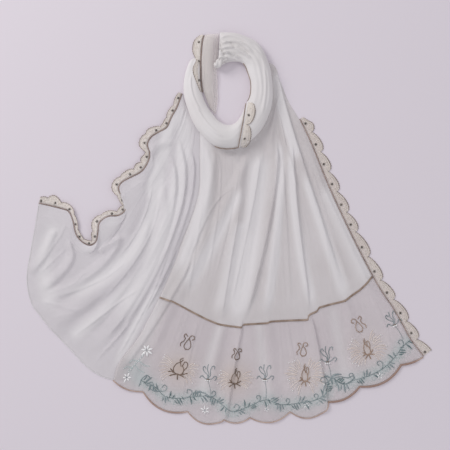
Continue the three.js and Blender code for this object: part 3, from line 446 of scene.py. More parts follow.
def folds_at(folds, points, sharp=False):
    """Height of the folds over plan points, and how far they lean in plan. Sharp ones have a crisp crest."""
    height = np.zeros(points.shape[:-1])
    lean = np.zeros(points.shape)
    for start, through, end, high, start_wide, end_wide, steep, lean_by in folds:
        crest = crest_line(start, through, end)
        reach = max(start_wide, end_wide) + 2
        low = crest.min(axis=0) - reach
        top = crest.max(axis=0) + reach
        near = np.all((points > low) & (points < top), axis=-1)
        spot = points[near]
        if not len(spot):
            continue
        nearest = np.full(len(spot), 1e9)
        side = np.ones(len(spot))
        along = np.zeros(len(spot))
        turn = np.zeros((len(spot), 2))
        for i, (a, b) in enumerate(zip(crest[:-1], crest[1:])):
            d = b - a
            f = np.clip(((spot - a) @ d) / (d @ d), 0, 1)
            off = spot - a - f[:, None] * d
            gap = np.hypot(off[:, 0], off[:, 1])
            closer = gap < nearest
            nearest = np.where(closer, gap, nearest)
            side = np.where(closer, d[0] * off[:, 1] - d[1] * off[:, 0], side)
            along = np.where(closer, (i + f) / FOLD_SAMPLES, along)
            turn = np.where(closer[:, None], np.array([-d[1], d[0]]) / np.hypot(*d), turn)
        wide = mix(start_wide, end_wide, along) * np.where(side > 0, steep, 1.0)
        taper = ease(along / FOLD_RISE) * ease((1 - along) / FOLD_RISE)
        near_crest = np.clip(1 - nearest / wide, 0, 1)
        shape = taper * (near_crest**SHARPNESS if sharp else ease(near_crest))
        height[near] += high * shape
        lean[near] += turn * (lean_by * shape)[:, None]
    return height, lean


# Meshes


def normals_of(points, closed=False):
    """Unit normals of a grid of points. A closed grid joins its last column to its first."""
    if closed:
        across = np.roll(points, -1, axis=1) - np.roll(points, 1, axis=1)
    else:
        across = np.gradient(points, axis=1)
    return unit(np.cross(across, np.gradient(points, axis=0)))


def grid_quads(rows, columns, closed=False):
    """Corner indices of a grid's quads."""
    j, i = np.meshgrid(np.arange(rows - 1), np.arange(columns if closed else columns - 1), indexing="ij")
    k = (i + 1) % columns
    upper = j * columns
    lower = upper + columns
    return np.stack([upper + i, lower + i, lower + k, upper + k], -1).reshape(-1, 4)


def fan(tip, first, second):
    """Triangles from a tip to pairs of corners, as quads with their last corner repeated."""
    return np.stack([np.full(len(first), tip), first, second, second], -1)


class Pile:
    """Collects points and faces of one mesh, in drawing millimetres."""

    def __init__(self):
        self.points = []
        self.quads = []
        self.count = 0

    def add(self, points, quads):
        points = np.asarray(points, float).reshape(-1, 3)
        self.points.append(points)
        self.quads.append(np.asarray(quads, int) + self.count)
        self.count += len(points)

    def piece(self, name, material):
        return mesh_piece(name, np.concatenate(self.points), np.concatenate(self.quads), material)


def new_object(name, data):
    item = bpy.data.objects.new(name, data)
    bpy.context.scene.collection.objects.link(item)
    return item


def mesh_piece(name, points, quads, material):
    """A smooth mesh of quads from drawing points. A quad with its last corner repeated is a triangle."""
    faces = [q[:3] if q[2] == q[3] else q for q in quads.tolist()]
    mesh = bpy.data.meshes.new(name)
    mesh.from_pydata(to_frame(points).tolist(), [], faces)
    mesh.validate()
    mesh.polygons.foreach_set("use_smooth", np.ones(len(mesh.polygons), bool))
    mesh.update()
    piece = new_object(name, mesh)
    mesh.materials.append(material)
    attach(piece, "root")
    return piece


def shell(points, wall=CLOTH, closed=False, inward=False):
    """A thin closed wall about a grid of points: its corners and quads."""
    rows, columns = points.shape[:2]
    through = normals_of(points, closed) * wall
    upper, lower = (points, points - through) if inward else (points + through / 2, points - through / 2)
    count = rows * columns
    quads = grid_quads(rows, columns, closed)
    index = np.arange(count).reshape(rows, columns)
    first, last = index[0], index[-1]
    if closed:
        rims = [np.append(first, first[0]), np.append(last, last[0])[::-1]]
    else:
        rims = [first, last[::-1], index[::-1, 0], index[:, -1]]
    sides = [np.stack([rim[:-1], rim[1:], rim[1:] + count, rim[:-1] + count], -1) for rim in rims]
    corners = np.concatenate([upper.reshape(-1, 3), lower.reshape(-1, 3)])
    return corners, np.concatenate([quads, quads[:, ::-1] + count, *sides])


def sheet_piece(name, points, material, wall=CLOTH):
    """An open grid of points as a thin cloth with its right side up."""
    if normals_of(points)[..., 2].mean() < 0:
        points = points[:, ::-1]
    corners, quads = shell(points, wall)
    return mesh_piece(name, corners, quads[:, ::-1], material)


def roll_piece(name, points, material):
    """A closed grid of points as a thin tube of cloth with its right side out."""
    middle = points.mean(axis=1, keepdims=True)
    if (normals_of(points, True) * (points - middle)).sum() <= 0:
        points = points[:, ::-1]
    corners, quads = shell(points, closed=True, inward=True)
    return mesh_piece(name, corners, quads[:, ::-1], material)


def tube(points, radius, sides=6, flatten=1.0):
    """Corners and quads of a round thread along points. Its ends are drawn to a point."""
    points = np.asarray(points, float)
    count = len(points)
    tangent = unit(np.gradient(points, axis=0))
    side = np.cross(np.array([0.0, 0.0, 1.0]), tangent)
    weak = np.linalg.norm(side, axis=1) < 0.15
    side[weak] = np.cross(np.array([1.0, 0.2, 0.0]), tangent[weak])
    side = unit(side)
    for i in range(1, count):
        if side[i] @ side[i - 1] < 0:
            side[i] = -side[i]
    lift = np.cross(tangent, side)
    angle = 2 * np.pi * (np.arange(sides) + 0.5) / sides
    ring = side[:, None] * np.cos(angle)[:, None] + lift[:, None] * (np.sin(angle) * flatten)[:, None]
    corners = points[:, None] + ring * np.broadcast_to(radius, (count,))[:, None, None]
    total = count * sides
    i = np.arange(sides)
    k = (i + 1) % sides
    ends = [fan(total, i, k), fan(total + 1, total - sides + k, total - sides + i)]
    corners = np.concatenate([corners.reshape(-1, 3), points[[0, -1]]])
    return corners, np.concatenate([grid_quads(count, sides, True), *ends])


def ball(centre, radius, squash=0.7, sides=6):
    """A small bead: corners and quads."""
    angle = 2 * np.pi * np.arange(sides) / sides
    circle = np.stack([np.cos(angle), np.sin(angle)], -1)
    rings = [raised(circle * math.sqrt(1 - z * z), np.full(sides, z)) for z in (-0.8, 0.0, 0.8)]
    corners = np.concatenate([*rings, [[0, 0, -1.0], [0, 0, 1.0]]]) * np.array([1, 1, squash]) * radius
    i = np.arange(sides)
    k = (i + 1) % sides
    ends = [fan(3 * sides, k, i), fan(3 * sides + 1, 2 * sides + i, 2 * sides + k)]
    return corners + centre, np.concatenate([grid_quads(3, sides, True)[:, ::-1], *ends])


def cord_piece(name, points, radius, material, sides=8):
    return mesh_piece(name, *tube(points, radius, sides), material)


# Materials


def new_node(material, kind, **values):
    """A node of the material, with the named inputs set."""
    node = material.node_tree.nodes.new("ShaderNode" + kind)
    for name, value in values.items():
        node.inputs[name].default_value = value
    return node


def shader_of(material):
    return material.node_tree.nodes["Principled BSDF"]


def principled(name, colour, roughness, alpha=1.0, sheen=0.0, specular=0.3):
    material = bpy.data.materials.new(name)
    material.use_nodes = True
    for socket, value in (
        ("Base Color", (*colour, 1.0)),
        ("Roughness", roughness),
        ("Alpha", alpha),
        ("Sheen Weight", sheen),
        ("Sheen Roughness", 0.4),
        ("Specular IOR Level", specular),
    ):
        shader_of(material).inputs[socket].default_value = value
    return material


def lumps(material, scale, detail):
    """Noise in the object's own coordinates, with scale in lumps for each metre."""
    place = new_node(material, "TexCoord")
    texture = new_node(material, "TexNoise", Scale=scale, Detail=detail)
    material.node_tree.links.new(place.outputs["Object"], texture.inputs["Vector"])
    return texture.outputs["Fac"]


def grained(material, low, high, patches, bumps, depth, strength):
    """A base colour that drifts between two shades, and small bumps. Patches and bumps are counted for each
    metre, and depth is in metres."""
    links = material.node_tree.links
    ramp = new_node(material, "ValToRGB")
    for stop, position, shade in zip(ramp.color_ramp.elements, (0.35, 0.65), (low, high)):
        stop.position = position
        stop.color = (*shade, 1.0)
    bump = new_node(material, "Bump", Strength=strength, Distance=depth)
    links.new(lumps(material, patches, 3.0), ramp.inputs["Fac"])
    links.new(ramp.outputs["Color"], shader_of(material).inputs["Base Color"])
    links.new(lumps(material, bumps, 2.0), bump.inputs["Height"])
    links.new(bump.outputs["Normal"], shader_of(material).inputs["Normal"])
    return material


def cloth(name, low, high, alpha, sheen=0.2):
    plain = principled(name, high, 0.9, alpha, sheen, 0.15)
    return grained(plain, low, high, 9.0, 1400.0, 0.0004, 0.35)


def thread(name, low, high, roughness=0.5, specular=0.4):
    plain = principled(name, high, roughness, 1.0, 0.2, specular)
    return grained(plain, low, high, 60.0, 2500.0, 0.0003, 0.5)


def with_tint_and_painted_shade(material, thin=None, thick=None):
    """Lays the mesh's own colours, its tint and its painted shade, over the base colour. Where thin and thick
    give the cloth's alpha, it is less sheer where these colours lie."""
    links = material.node_tree.links
    shader = shader_of(material)
    tint_and_painted_shade = new_node(material, "Attribute")
    tint_and_painted_shade.attribute_name = "tint_and_painted_shade"
    blend = new_node(material, "Mix")
    blend.data_type = "RGBA"
    links.new(shader.inputs["Base Color"].links[0].from_socket, blend.inputs["A"])
    links.new(tint_and_painted_shade.outputs["Alpha"], blend.inputs["Factor"])
    links.new(tint_and_painted_shade.outputs["Color"], blend.inputs["B"])
    links.new(blend.outputs["Result"], shader.inputs["Base Color"])
    if thin is not None:
        cover = new_node(material, "MapRange")
        cover.inputs["To Min"].default_value = thin
        cover.inputs["To Max"].default_value = thick
        links.new(tint_and_painted_shade.outputs["Alpha"], cover.inputs["Value"])
        links.new(cover.outputs["Result"], shader.inputs["Alpha"])


chiffon = cloth("chiffon", (0.83, 0.79, 0.785), (0.89, 0.855, 0.855), 0.6)
with_tint_and_painted_shade(chiffon, 0.6, 0.85)
under_chiffon = cloth("under_chiffon", (0.87, 0.84, 0.86), (0.925, 0.895, 0.915), 0.6)
with_tint_and_painted_shade(under_chiffon, 0.6, 0.85)
hem_chiffon = cloth("hem_chiffon", (0.91, 0.89, 0.895), (0.96, 0.94, 0.95), 0.7)
ring_chiffon = cloth("ring_chiffon", (0.80, 0.77, 0.765), (0.86, 0.84, 0.84), 1.0)
# The ring's cloth takes the painted shade of its gathers from its mesh
with_tint_and_painted_shade(ring_chiffon)
band_chiffon = cloth("band_chiffon", (0.93, 0.87, 0.86), (0.98, 0.93, 0.92), 0.4)
with_tint_and_painted_shade(band_chiffon, 0.22, 0.45)
organza = cloth("organza", (0.80, 0.75, 0.755), (0.86, 0.81, 0.815), 0.42, 0.3)
with_tint_and_painted_shade(organza, 0.42, 0.8)
net = cloth("lace_net", (0.88, 0.81, 0.74), (0.94, 0.88, 0.81), 0.42, 0.2)
pale_net = cloth("pale_net", (0.96, 0.90, 0.84), (1.0, 0.95, 0.89), 0.62, 0.2)
lace_thread = thread("lace_thread", (0.88, 0.81, 0.74), (0.94, 0.88, 0.82))
lace_edge_thread = thread("lace_edge_thread", (0.26, 0.20, 0.165), (0.44, 0.36, 0.305))
gold = thread("gold_satin", (0.25, 0.175, 0.13), (0.42, 0.32, 0.255), 0.42, 0.5)
gold_dark = thread("gold_dark", (0.07, 0.06, 0.05), (0.14, 0.11, 0.09), 0.4, 0.5)
hem_gold = thread("hem_gold", (0.46, 0.32, 0.26), (0.60, 0.46, 0.39), 0.42, 0.5)
with_tint_and_painted_shade(hem_gold)
brown_thread = thread("brown_thread", (0.16, 0.105, 0.075), (0.26, 0.185, 0.14))
tan_thread = thread("tan_thread", (0.34, 0.23, 0.17), (0.48, 0.35, 0.27))
cream_thread = thread("cream_thread", (0.80, 0.68, 0.61), (0.92, 0.84, 0.79))
teal_thread = thread("teal_thread", (0.13, 0.19, 0.20), (0.25, 0.32, 0.33))
mist_thread = thread("mist_thread", (0.48, 0.58, 0.575), (0.62, 0.70, 0.695))
slate_thread = thread("slate_thread", (0.21, 0.265, 0.28), (0.35, 0.405, 0.42))
bead_white = principled("bead_white", (0.96, 0.96, 0.96), 0.25, 1.0, 0.0, 0.6)

# Neck ring

# Heights of the creases in the ring's cloth, the section from which close ones pinch it, how far the ring's
# two halves are parted where they lap, and the section where each lap starts with its length in sections
FINE_CREASE = 0.4
BROAD_CREASE = 1.1
BROAD_DROP = 0.5
CLOSE_CREASE = 1.8
CREASE_POWER = 0.8
PINCH_ROW = 15.0
PINCH_FADE = 3.5
LAP = 0.9
FRONT_LAP = (9.2, 0.8)
BACK_LAP = (9.9, 1.5)
FRONT_LAST_ROW = WRAP_SPLIT + 0.25
BACK_FIRST_ROW = WRAP_SPLIT - 0.1
# Share of the gathers' height on the front and back half, and the section where one gives way to the other
GATHER_SHARES = (0.35, 0.7)
GATHER_ROW = 9.0
GATHER_FADE = 3.0
# How far the skin has risen where its creases are full
CREASE_RISE = 0.35
BAND_CREASE = 1.5
BAND_CREASE_RISE = 0.4
# Length of the ring's tied end in sections, and what is left there of its height and its folds
END_FADE = 0.8
END_HEIGHT = 0.35
END_FOLDS = 0.6
wrap_track = track(WRAP_ROWS, np.arange(len(WRAP_ROWS)))
band_track = track(BAND_ROWS, np.arange(len(BAND_ROWS)))
RING_END = len(WRAP_ROWS) - 1
SKIN_LOW = 0.3


def roll_point(line, row, angle, out):
    """A point on a roll's skin, lifted by out. Angle 0 is the outer side and a quarter turn the top."""
    s = line(row)
    inner = s[..., 0:2]
    wide_by = s[..., 2:4] - inner
    high = s[..., 4]
    wide = np.linalg.norm(wide_by, axis=-1)
    across = (1 + np.cos(angle)) / 2
    up = np.sin(angle)
    share = np.where(up > 0, 1 - WRAP_CENTRE_SHARE, WRAP_UNDER_SHARE)
    normal_across = np.cos(angle) / wide
    normal_up = up / (2 * share * high)
    size = np.hypot(normal_across, normal_up)
    shift = out * normal_across / size / wide
    z = high * (WRAP_CENTRE_SHARE + share * up) + out * normal_up / size
    plan = inner + wide_by * (across + shift)[..., None]
    return raised(plan, np.maximum(z, SKIN_LOW))


def gather_height(row, across):
    total = np.zeros(np.broadcast(row, across).shape)
    for share, first, last, high, wide in GATHERS:
        inside = (row - first) * (last - row)
        half = (last - first) / 2
        total = total + high * ease(2 * inside / half**2) * np.exp(-(((across - share) / wide) ** 2))
    return total


# Folds and creases of the ring's tied end, in the columns of the other folds
RING_FOLDS = [
    ((-19, 366), (10, 374), (50, 351), 3.6, 4, 7, 0.6, 0),
    ((-18, 356), (14, 361), (48, 336), 4.4, 4, 7, 0.5, 0),
    ((-18, 347), (12, 348), (44, 324), 4.6, 3, 7, 0.5, 0),
    ((-16, 340), (8, 337), (34, 316), 4.2, 3, 6, 0.5, 0),
    ((-12, 331), (8, 328), (24, 320), 3.4, 3, 5, 0.5, 0),
    ((-25, 318), (-18, 330), (-7, 321), 9.0, 6, 7, 0.8, 0),
    ((-22, 350), (-14, 343), (-9, 334), -6.0, 3, 3, 1, 0),
    ((-3, 341), (4, 336), (11, 332), -5.0, 3, 3, 1, 0),
    ((-22, 372), (-18, 359), (-16, 349), -5.0, 3, 3, 1, 0),
    ((-8, 364), (4, 357), (12, 346), -3.5, 3, 3, 1, 0),
    ((-10, 322), (0, 324), (14, 327), -4.5, 2.5, 2.5, 1, 0),
    ((14, 352), (28, 346), (38, 334), -2.5, 3, 3, 1, 0),
    ((48, 345), (62, 330), (70, 300), 2.0, 3, 5, 0.6, 0),
    ((66, 310), (70, 270), (62, 215), 2.2, 4, 6, 0.6, 0),
    ((-74, 300), (-72, 262), (-52, 222), 2.2, 4, 6, 0.6, 0),
    ((-66, 240), (-40, 200), (-10, 176), 2.0, 4, 6, 0.6, 0),
]
fine_wrap = noise(11, 22, 6)
broad_wrap = noise(12, 7, 3)
close_wrap = noise(13, 36, 7)


def wrap_skin(row, angle, out=0.0):
    """The ring's skin with its gathers, and with finer creases along its length."""
    across = (1 + np.cos(angle)) / 2
    upper = np.clip(np.sin(angle), 0, 1)
    turn = np.mod(angle, 2 * np.pi) / (2 * np.pi)
    station = row / RING_END
    pinch = ease((row - PINCH_ROW) / PINCH_FADE)
    crease = FINE_CREASE * np.abs(fine_wrap(turn, station)) ** CREASE_POWER
    crease = crease + BROAD_CREASE * np.abs(broad_wrap(turn, station)) - BROAD_DROP
    crease = crease + pinch * CLOSE_CREASE * np.abs(close_wrap(turn, station)) ** CREASE_POWER
    gathers = mix(*GATHER_SHARES, ease((row - GATHER_ROW) / GATHER_FADE)) * gather_height(row, across)
    gathered = (gathers + crease * ease(upper / CREASE_RISE)) * np.sqrt(upper)
    points = roll_point(wrap_track, row, angle, out + gathered)
    from_end = ease((RING_END - row) / END_FADE)
    points[..., 2] *= mix(END_HEIGHT, 1, from_end)
    points[..., 2] += folds_at(RING_FOLDS, points[..., :2])[0] * upper * mix(END_FOLDS, 1, from_end)
    points[..., 2] = np.maximum(points[..., 2], SKIN_LOW)
    return points


def front_wrap_skin(row, angle):
    """The ring's lower half, drawn in a little where the upper half lies over its end."""
    start, long = FRONT_LAP
    return wrap_skin(row, angle, -LAP * ease((row - start) / long))


def back_wrap_skin(row, angle):
    start, long = BACK_LAP
    return wrap_skin(row, angle, LAP * (1 - ease((row - start) / long)))


fine_band = noise(21, 16, 5)


def band_skin(row, angle):
    turn = np.mod(angle, 2 * np.pi) / (2 * np.pi)
    upper = np.clip(np.sin(angle), 0, 1)
    fine = np.abs(fine_band(turn, row / (len(BAND_ROWS) - 1)))
    crease = BAND_CREASE * fine * ease(upper / BAND_CREASE_RISE)
    return roll_point(band_track, row, angle, crease)


def roll_grid(skin, first, last, size):
    """Points of a roll's skin from one section to another, closed round it."""
    sides, steps = size
    around = 2 * np.pi * np.arange(sides) / sides
    return skin(*np.meshgrid(np.linspace(first, last, steps), around, indexing="ij"))


front_wrap_grid = roll_grid(front_wrap_skin, 0, FRONT_LAST_ROW, WRAP_GRID)
back_wrap_grid = roll_grid(back_wrap_skin, BACK_FIRST_ROW, RING_END, WRAP_GRID)
band_grid = roll_grid(band_skin, 0, len(BAND_ROWS) - 1, BAND_GRID)
wrap_front = roll_piece("wrap_front_cloth", front_wrap_grid, ring_chiffon)
wrap_back = roll_piece("wrap_back_cloth", back_wrap_grid, ring_chiffon)

# Small twist where the ring's end is tucked in: x, y, height of its middle and radius
TWIST = [(-29, 321, 12, 1.5), (-26, 316, 14, 5), (-19, 321, 15, 7), (-12, 327, 16, 6.5), (-4, 326, 17, 3)]
TWIST_SIDES = 40
TWIST_STEPS = 60
TWIST_LOBES = 3
TWIST_PITCH = 22
TWIST_SWELL = 0.22
twist_line = edge_through(TWIST)(np.linspace(0, 1, TWIST_STEPS))
twist_points, twist_quads = tube(twist_line[:, :3], twist_line[:, 3], TWIST_SIDES)
for step, middle in enumerate(twist_line[:, :3]):
    twist_ring = twist_points[step * TWIST_SIDES : (step + 1) * TWIST_SIDES]
    turns = TWIST_LOBES * np.arange(TWIST_SIDES) / TWIST_SIDES + step / TWIST_PITCH
    swell = 1 + TWIST_SWELL * np.sin(2 * np.pi * turns)
    twist_ring[:] = middle + (twist_ring - middle) * swell[:, None]
twist = mesh_piece("wrap_twist_cloth", twist_points, twist_quads, ring_chiffon)
band = roll_piece("shoulder_band_cloth", band_grid, band_chiffon)


def drop_onto(pieces):
    """A function that gives the height of the pieces' upper side under plan points, in millimetres."""
    trees = []
    for piece in pieces:
        corners = [v.co for v in piece.data.vertices]
        trees.append(BVHTree.FromPolygons(corners, [p.vertices for p in piece.data.polygons]))

    def height(points, otherwise):
        result = []
        for x, y in to_frame(np.asarray(points, float)[:, :2]):
            hits = [tree.ray_cast(Vector((x, y, RAY_START)), Vector((0, 0, -1)))[0] for tree in trees]
            found = [hit.z * 1000.0 for hit in hits if hit is not None]
            result.append(max(found, default=otherwise))
        return np.array(result)

    return height


# Front end and border

# Heights of fine wrinkles, the front end's rounded left edge and raised top, and how the seam's corners are
# rounded, in millimetres. Shares are of the way down the end or the border.
STREAK = 0.35
RIPPLE = 0.1
ROUNDED_EDGE = 5.0
EDGE_DROP = 1.5
TOP_RISE = 2.5
TOP_RISE_SHARE = 0.03
FRONT_SHARE = 0.7
BORDER_START = 0.003
SEAM_ROUNDING = 3.0


def wrap_side(row, inset):
    """The ring's outer side in plan, moved towards its inner side."""
    s = wrap_track(row)
    outer, inner = s[..., 2:4], s[..., 0:2]
    return mix(outer, inner, (inset / between(outer, inner))[..., None])


def front_top(u):
    first, last, crowding = FRONT_TOP
    return wrap_side(mix(first, last, np.asarray(u, float) ** crowding), TUCK)


braid_edge = bent_line(BRAID_LINE, SEAM_ROUNDING)
front_left = edge_through([tuple(front_top(0)), *FRONT_LEFT, BRAID_LINE[0]])
front_right = edge_through([tuple(front_top(1)), *FRONT_RIGHT, BRAID_LINE[-1]])
border_left = edge_through([BRAID_LINE[0], *BORDER_LEFT, HEM_CUSPS[0][:2]])
border_right = edge_through([BRAID_LINE[-1], *BORDER_RIGHT, HEM_CUSPS[-1][:2]])


def hem_edge(u):
    """The hem's line: a bowed scallop from one cusp to the next."""
    cusps = np.array(HEM_CUSPS, float)
    along = lengths(cusps)
    at = np.clip(np.asarray(u, float), 0, 1) * along[-1]
    i = np.clip(np.searchsorted(along, at, side="right") - 1, 0, len(cusps) - 2)
    chord = along[i + 1] - along[i]
    f = (at - along[i]) / chord
    a, b = cusps[i], cusps[i + 1]
    bow = a[..., 2] * (1 - (2 * f - 1) ** 2) / chord
    x = mix(a[..., 0], b[..., 0], f) + bow * (b[..., 1] - a[..., 1])
    y = mix(a[..., 1], b[..., 1], f) - bow * (b[..., 0] - a[..., 0])
    return np.stack([x, y], axis=-1)


def wrinkles(streaks, ripples, swell, swell_high):
    """Fine uneven heights of thin cloth, over a panel's own square."""
    def at(u, v):
        fine = STREAK * (1 - np.abs(streaks(u, v))) ** 3
        return fine + RIPPLE * np.abs(ripples(u, v)) + swell_high * swell(u, v) ** 2

    return at


front_wrinkles = wrinkles(noise(31, 40, 4), noise(32, 120, 16), noise(33, 12, 3), 1.4)
under_wrinkles = wrinkles(noise(41, 30, 5), noise(42, 100, 16), noise(43, 10, 4), 1.6)


def front_cells(u, v, edges=None, first=0.0, share=FRONT_SHARE):
    """Front end's cloth between its edges, with its folds and the step onto the under end. first and share
    give its place down the whole end."""
    edges = edges or (front_top, braid_edge, front_left, front_right)
    plan = patch(*edges, u, v)
    from_left = between(plan, edges[2](v)[..., :2])
    lift = LIFT * (1 - ease((from_left - OVERLAP - LIFT_MARGIN) / LIFT_FADE))
    from_right = between(plan, edges[3](v)[..., :2])
    still = ease(from_right / FLAT_EDGE) * ease(between(plan, front_top(u)) / FREE_OF_RING)
    folds, lean = folds_at(FRONT_FOLDS, plan)
    creases, crease_lean = folds_at(FRONT_CREASES, plan, True)
    fine = front_wrinkles(u, first + v * share)
    z = lift + (FOLD_SHARE * folds + CREASE_SHARE * creases + fine) * still
    rim = np.clip(from_left / ROUNDED_EDGE, 0, 1)
    z = z - EDGE_DROP * (1 - np.sqrt(rim * (2 - rim))) * (lift > 1) + CLOTH_REST
    if first == 0:
        z = z + TOP_RISE * (1 - ease(v / TOP_RISE_SHARE))
    return raised(plan + (lean + crease_lean) * still[..., None], z)


def border_cells(u, v):
    edges = (braid_edge, hem_edge, border_left, border_right)
    return front_cells(u, v, edges, FRONT_SHARE, 1 - FRONT_SHARE)


def grid_of(cells, size, crowd=1.0, first=0.0, last=1.0):
    columns, rows = size
    v, u = np.meshgrid(np.linspace(first, last, rows), np.linspace(0, 1, columns) ** crowd, indexing="ij")
    return cells(u, v)


front_grid = grid_of(front_cells, FRONT_GRID)
border_grid = grid_of(border_cells, BORDER_GRID, first=BORDER_START)
front = sheet_piece("front_cloth", front_grid, chiffon)
border = sheet_piece("border_cloth", border_grid, organza)

# Under end

# Within this reach of its trimmed edge the cloth loses this share of its folds, and its columns crowd there
STIFF_REACH = 22.0
STIFF_SHARE = 0.85
UNDER_CROWD = 1.35
ruffle_edge = edge_through(RUFFLE)


def ruffle_middle(v):
    v = np.asarray(v, float)
    reach = np.minimum(RUFFLE_SMOOTHING, np.minimum(v, 1 - v))
    return np.mean([ruffle_edge(v + reach * step)[..., :2] for step in np.arange(-8, 9) / 8], axis=0)


def under_top(u):
    return wrap_side(mix(*UNDER_TOP, np.asarray(u, float)), TUCK)


def under_left(v):
    v = np.asarray(v, float)
    return ruffle_middle(v) + (under_top(0) - ruffle_middle(0)) * (1 - v)[..., None]


hidden = np.array([*FRONT_LEFT, *BORDER_LEFT], float)
hidden_line = beside(hidden[::-1], OVERLAP)[::-1]
under_hem = edge_through(UNDER_HEM)
under_right = edge_through([tuple(under_top(1)), *hidden_line, UNDER_HEM[-1]])


def under_cells(u, v):
    """Under end's cloth, with its trimmed edge drawn out to the ruffle's line."""
    plan = patch(under_top, under_hem, under_left, under_right, u, v)
    left, right = under_left(v), under_right(v)[..., :2]
    from_left = u * between(left, right)
    near = 1 - ease(from_left / RUFFLE_FADE)
    edge = ruffle_edge(v)
    still = ease((between(plan, right) - OVERLAP) / FREE_OF_RING)
    still = still * ease(between(plan, under_top(u)) / FREE_OF_RING)
    folds, lean = folds_at(UNDER_FOLDS, plan)
    creases, crease_lean = folds_at(UNDER_CREASES, plan, True)
    free = 1 - (1 - ease(from_left / STIFF_REACH)) * STIFF_SHARE
    z = (UNDER_SHARE * folds + creases + under_wrinkles(u, v)) * still * free
    z = z + edge[..., 2] * near + CLOTH_REST
    shift = (edge[..., :2] - left) * near[..., None]
    return raised(plan + shift + (lean + crease_lean) * (still * free)[..., None], z)


under_grid = grid_of(under_cells, UNDER_GRID, crowd=UNDER_CROWD)
under = sheet_piece("under_cloth", under_grid, under_chiffon)

# Trims of the cloth


def scallop(turns, cusp_share):
    """Depth along scallops, as a share of the full depth: a whole turn count is a cusp."""
    return mix(cusp_share, 1.0, np.sqrt(np.abs(np.sin(np.pi * turns))))


def front_scallop(along):
    """The same for the front end's lace, from its own cusps. Each peak stands towards the hem."""
    cusps = np.array(FRONT_LACE_CUSPS, float)
    i = np.clip(np.searchsorted(cusps, along, side="right") - 1, 0, len(cusps) - 2)
    part = (along - cusps[i]) / (cusps[i + 1] - cusps[i])
    return scallop(part**FRONT_LACE_BEND, LACE_CUSP_SHARE)


def petals(pile, centre, radius, count, wide):
    """A small stitched rosette round a point."""
    for angle in 2 * math.pi * np.arange(count) / count:
        way = np.array([math.cos(angle), math.sin(angle), 0]) * radius
        pile.add(*tube(np.linspace(centre + way * 0.25, centre + way, 4), [0.3, wide, wide, 0.25], 4))


LACE_LIFT = np.array([0, 0, 0.45])
NET_ROWS = (0.0, 0.33, 0.66, 1.0)
NET_WALL = 0.3
LACE_STEP = 1.8
LACE_BARS = (0.6, 0.86)
EDGING_SHARE = 0.97
LACE_START = 0.4
LACE_START_FADE = 22.0
BAR_PITCH = 5
DOT_PITCH = 4.2
# Rosettes of a scallop: place along it, share of its depth, petal length, petals, half width and bead
ROSETTES = [(0.4, 0.3, 3.0, 6, 0.6, 1.4), (0.15, 0.4, 1.6, 5, 0.45, 0), (0.7, 0.4, 1.6, 5, 0.45, 0)]


def lace_run(name, place, total, cusps, fill):
    """Scalloped lace with cusps at the given distances along it. place(along, share) gives its points,
    where share is 0 at the cloth and 1 at the scallop."""
    def lifted(at, share):
        at = np.atleast_1d(at)
        return place(at, np.broadcast_to(share, at.shape)) + LACE_LIFT

    along = np.linspace(0, total, max(8, int(total / LACE_STEP)))
    net_grid = np.stack([place(along, np.full(len(along), share)) for share in NET_ROWS])
    net_piece = sheet_piece(name + "_net", net_grid, fill, NET_WALL)
    stitched, edging, dots = Pile(), Pile(), Pile()
    inner, outer = LACE_BARS
    for pile, share, radius in ((edging, EDGING_SHARE, 0.4), (stitched, outer, 0.6), (stitched, inner, 0.4)):
        pile.add(*tube(lifted(along, share), radius, 5))
    for start, end in zip(cusps[:-1], cusps[1:]):
        pitch = end - start
        for at in start + pitch * np.linspace(0.08, 0.92, max(4, round(pitch / BAR_PITCH))):
            if 0 < at < total:
                stitched.add(*tube(np.linspace(*lifted([at, at], LACE_BARS), 4), 0.3, 4))
        for at in start + pitch * np.linspace(0.0, 1.0, max(4, round(pitch / DOT_PITCH) + 1)):
            if 0 < at < total:
                edging.add(*ball(lifted(at, 1.0)[0], 1.0, 0.8, 5))
        for part, share, long, count, wide, bead in ROSETTES:
            at = start + part * pitch
            if 3 < at < total - 3:
                spot = lifted(at, share)[0]
                petals(dots if bead else stitched, spot, long, count, wide)
                if bead:
                    dots.add(*ball(spot + LACE_LIFT, bead, 0.8, 6))
    return [
        net_piece,
        stitched.piece(name + "_stitches", lace_thread),
        edging.piece(name + "_edging", lace_edge_thread),
        dots.piece(name + "_rosettes", gold_dark),
    ]


def lace_beside(edge, depth, z_at, smooth, reach=LACE_REACH, step=1.5):
    """place function of a lace that lies beside an edge in plan, and the lace's length."""
    line, at = resample(edge, step)
    near = beside(line, reach, smooth)[:, :2]
    far = beside(line, reach + depth(at, line), smooth)[:, :2]

    def place(along, share):
        plan = mix(read_line(along, at, near), read_line(along, at, far), share[:, None])
        return raised(plan, z_at(np.interp(along, at, line[:, 2]), share, plan))

    return place, at[-1]


def piping(name, line, smooth=3):
    return cord_piece(name, beside(line, CORD_REACH, smooth), PIPING_RADIUS, gold)


def front_lace_depth(along, line):
    """The front end's lace gets shallower where its edge folds under."""
    shallow = mix(LACE_START, 1, ease((along[-1] - along) / LACE_START_FADE))
    return LACE_DEPTH * front_scallop(along) * shallow


# Right edge, from the hem up to where it folds under
right_rows = np.concatenate([front_grid[:, -1], border_grid[:, -1]])[::-1]
right_edge = right_rows[right_rows[:, 1] < TRIM_TOP]
right_edge[:, 2] = np.maximum(right_edge[:, 2], CORD_RADIUS)
front_cord = piping("front_piping", resample(right_edge, 2.0)[0])
front_place, front_total = lace_beside(
    right_edge,
    front_lace_depth,
    lambda z, share, plan: np.full(len(z), 0.6),
    6,
)
front_lace = lace_run("front_lace", front_place, front_total, FRONT_LACE_CUSPS, net)

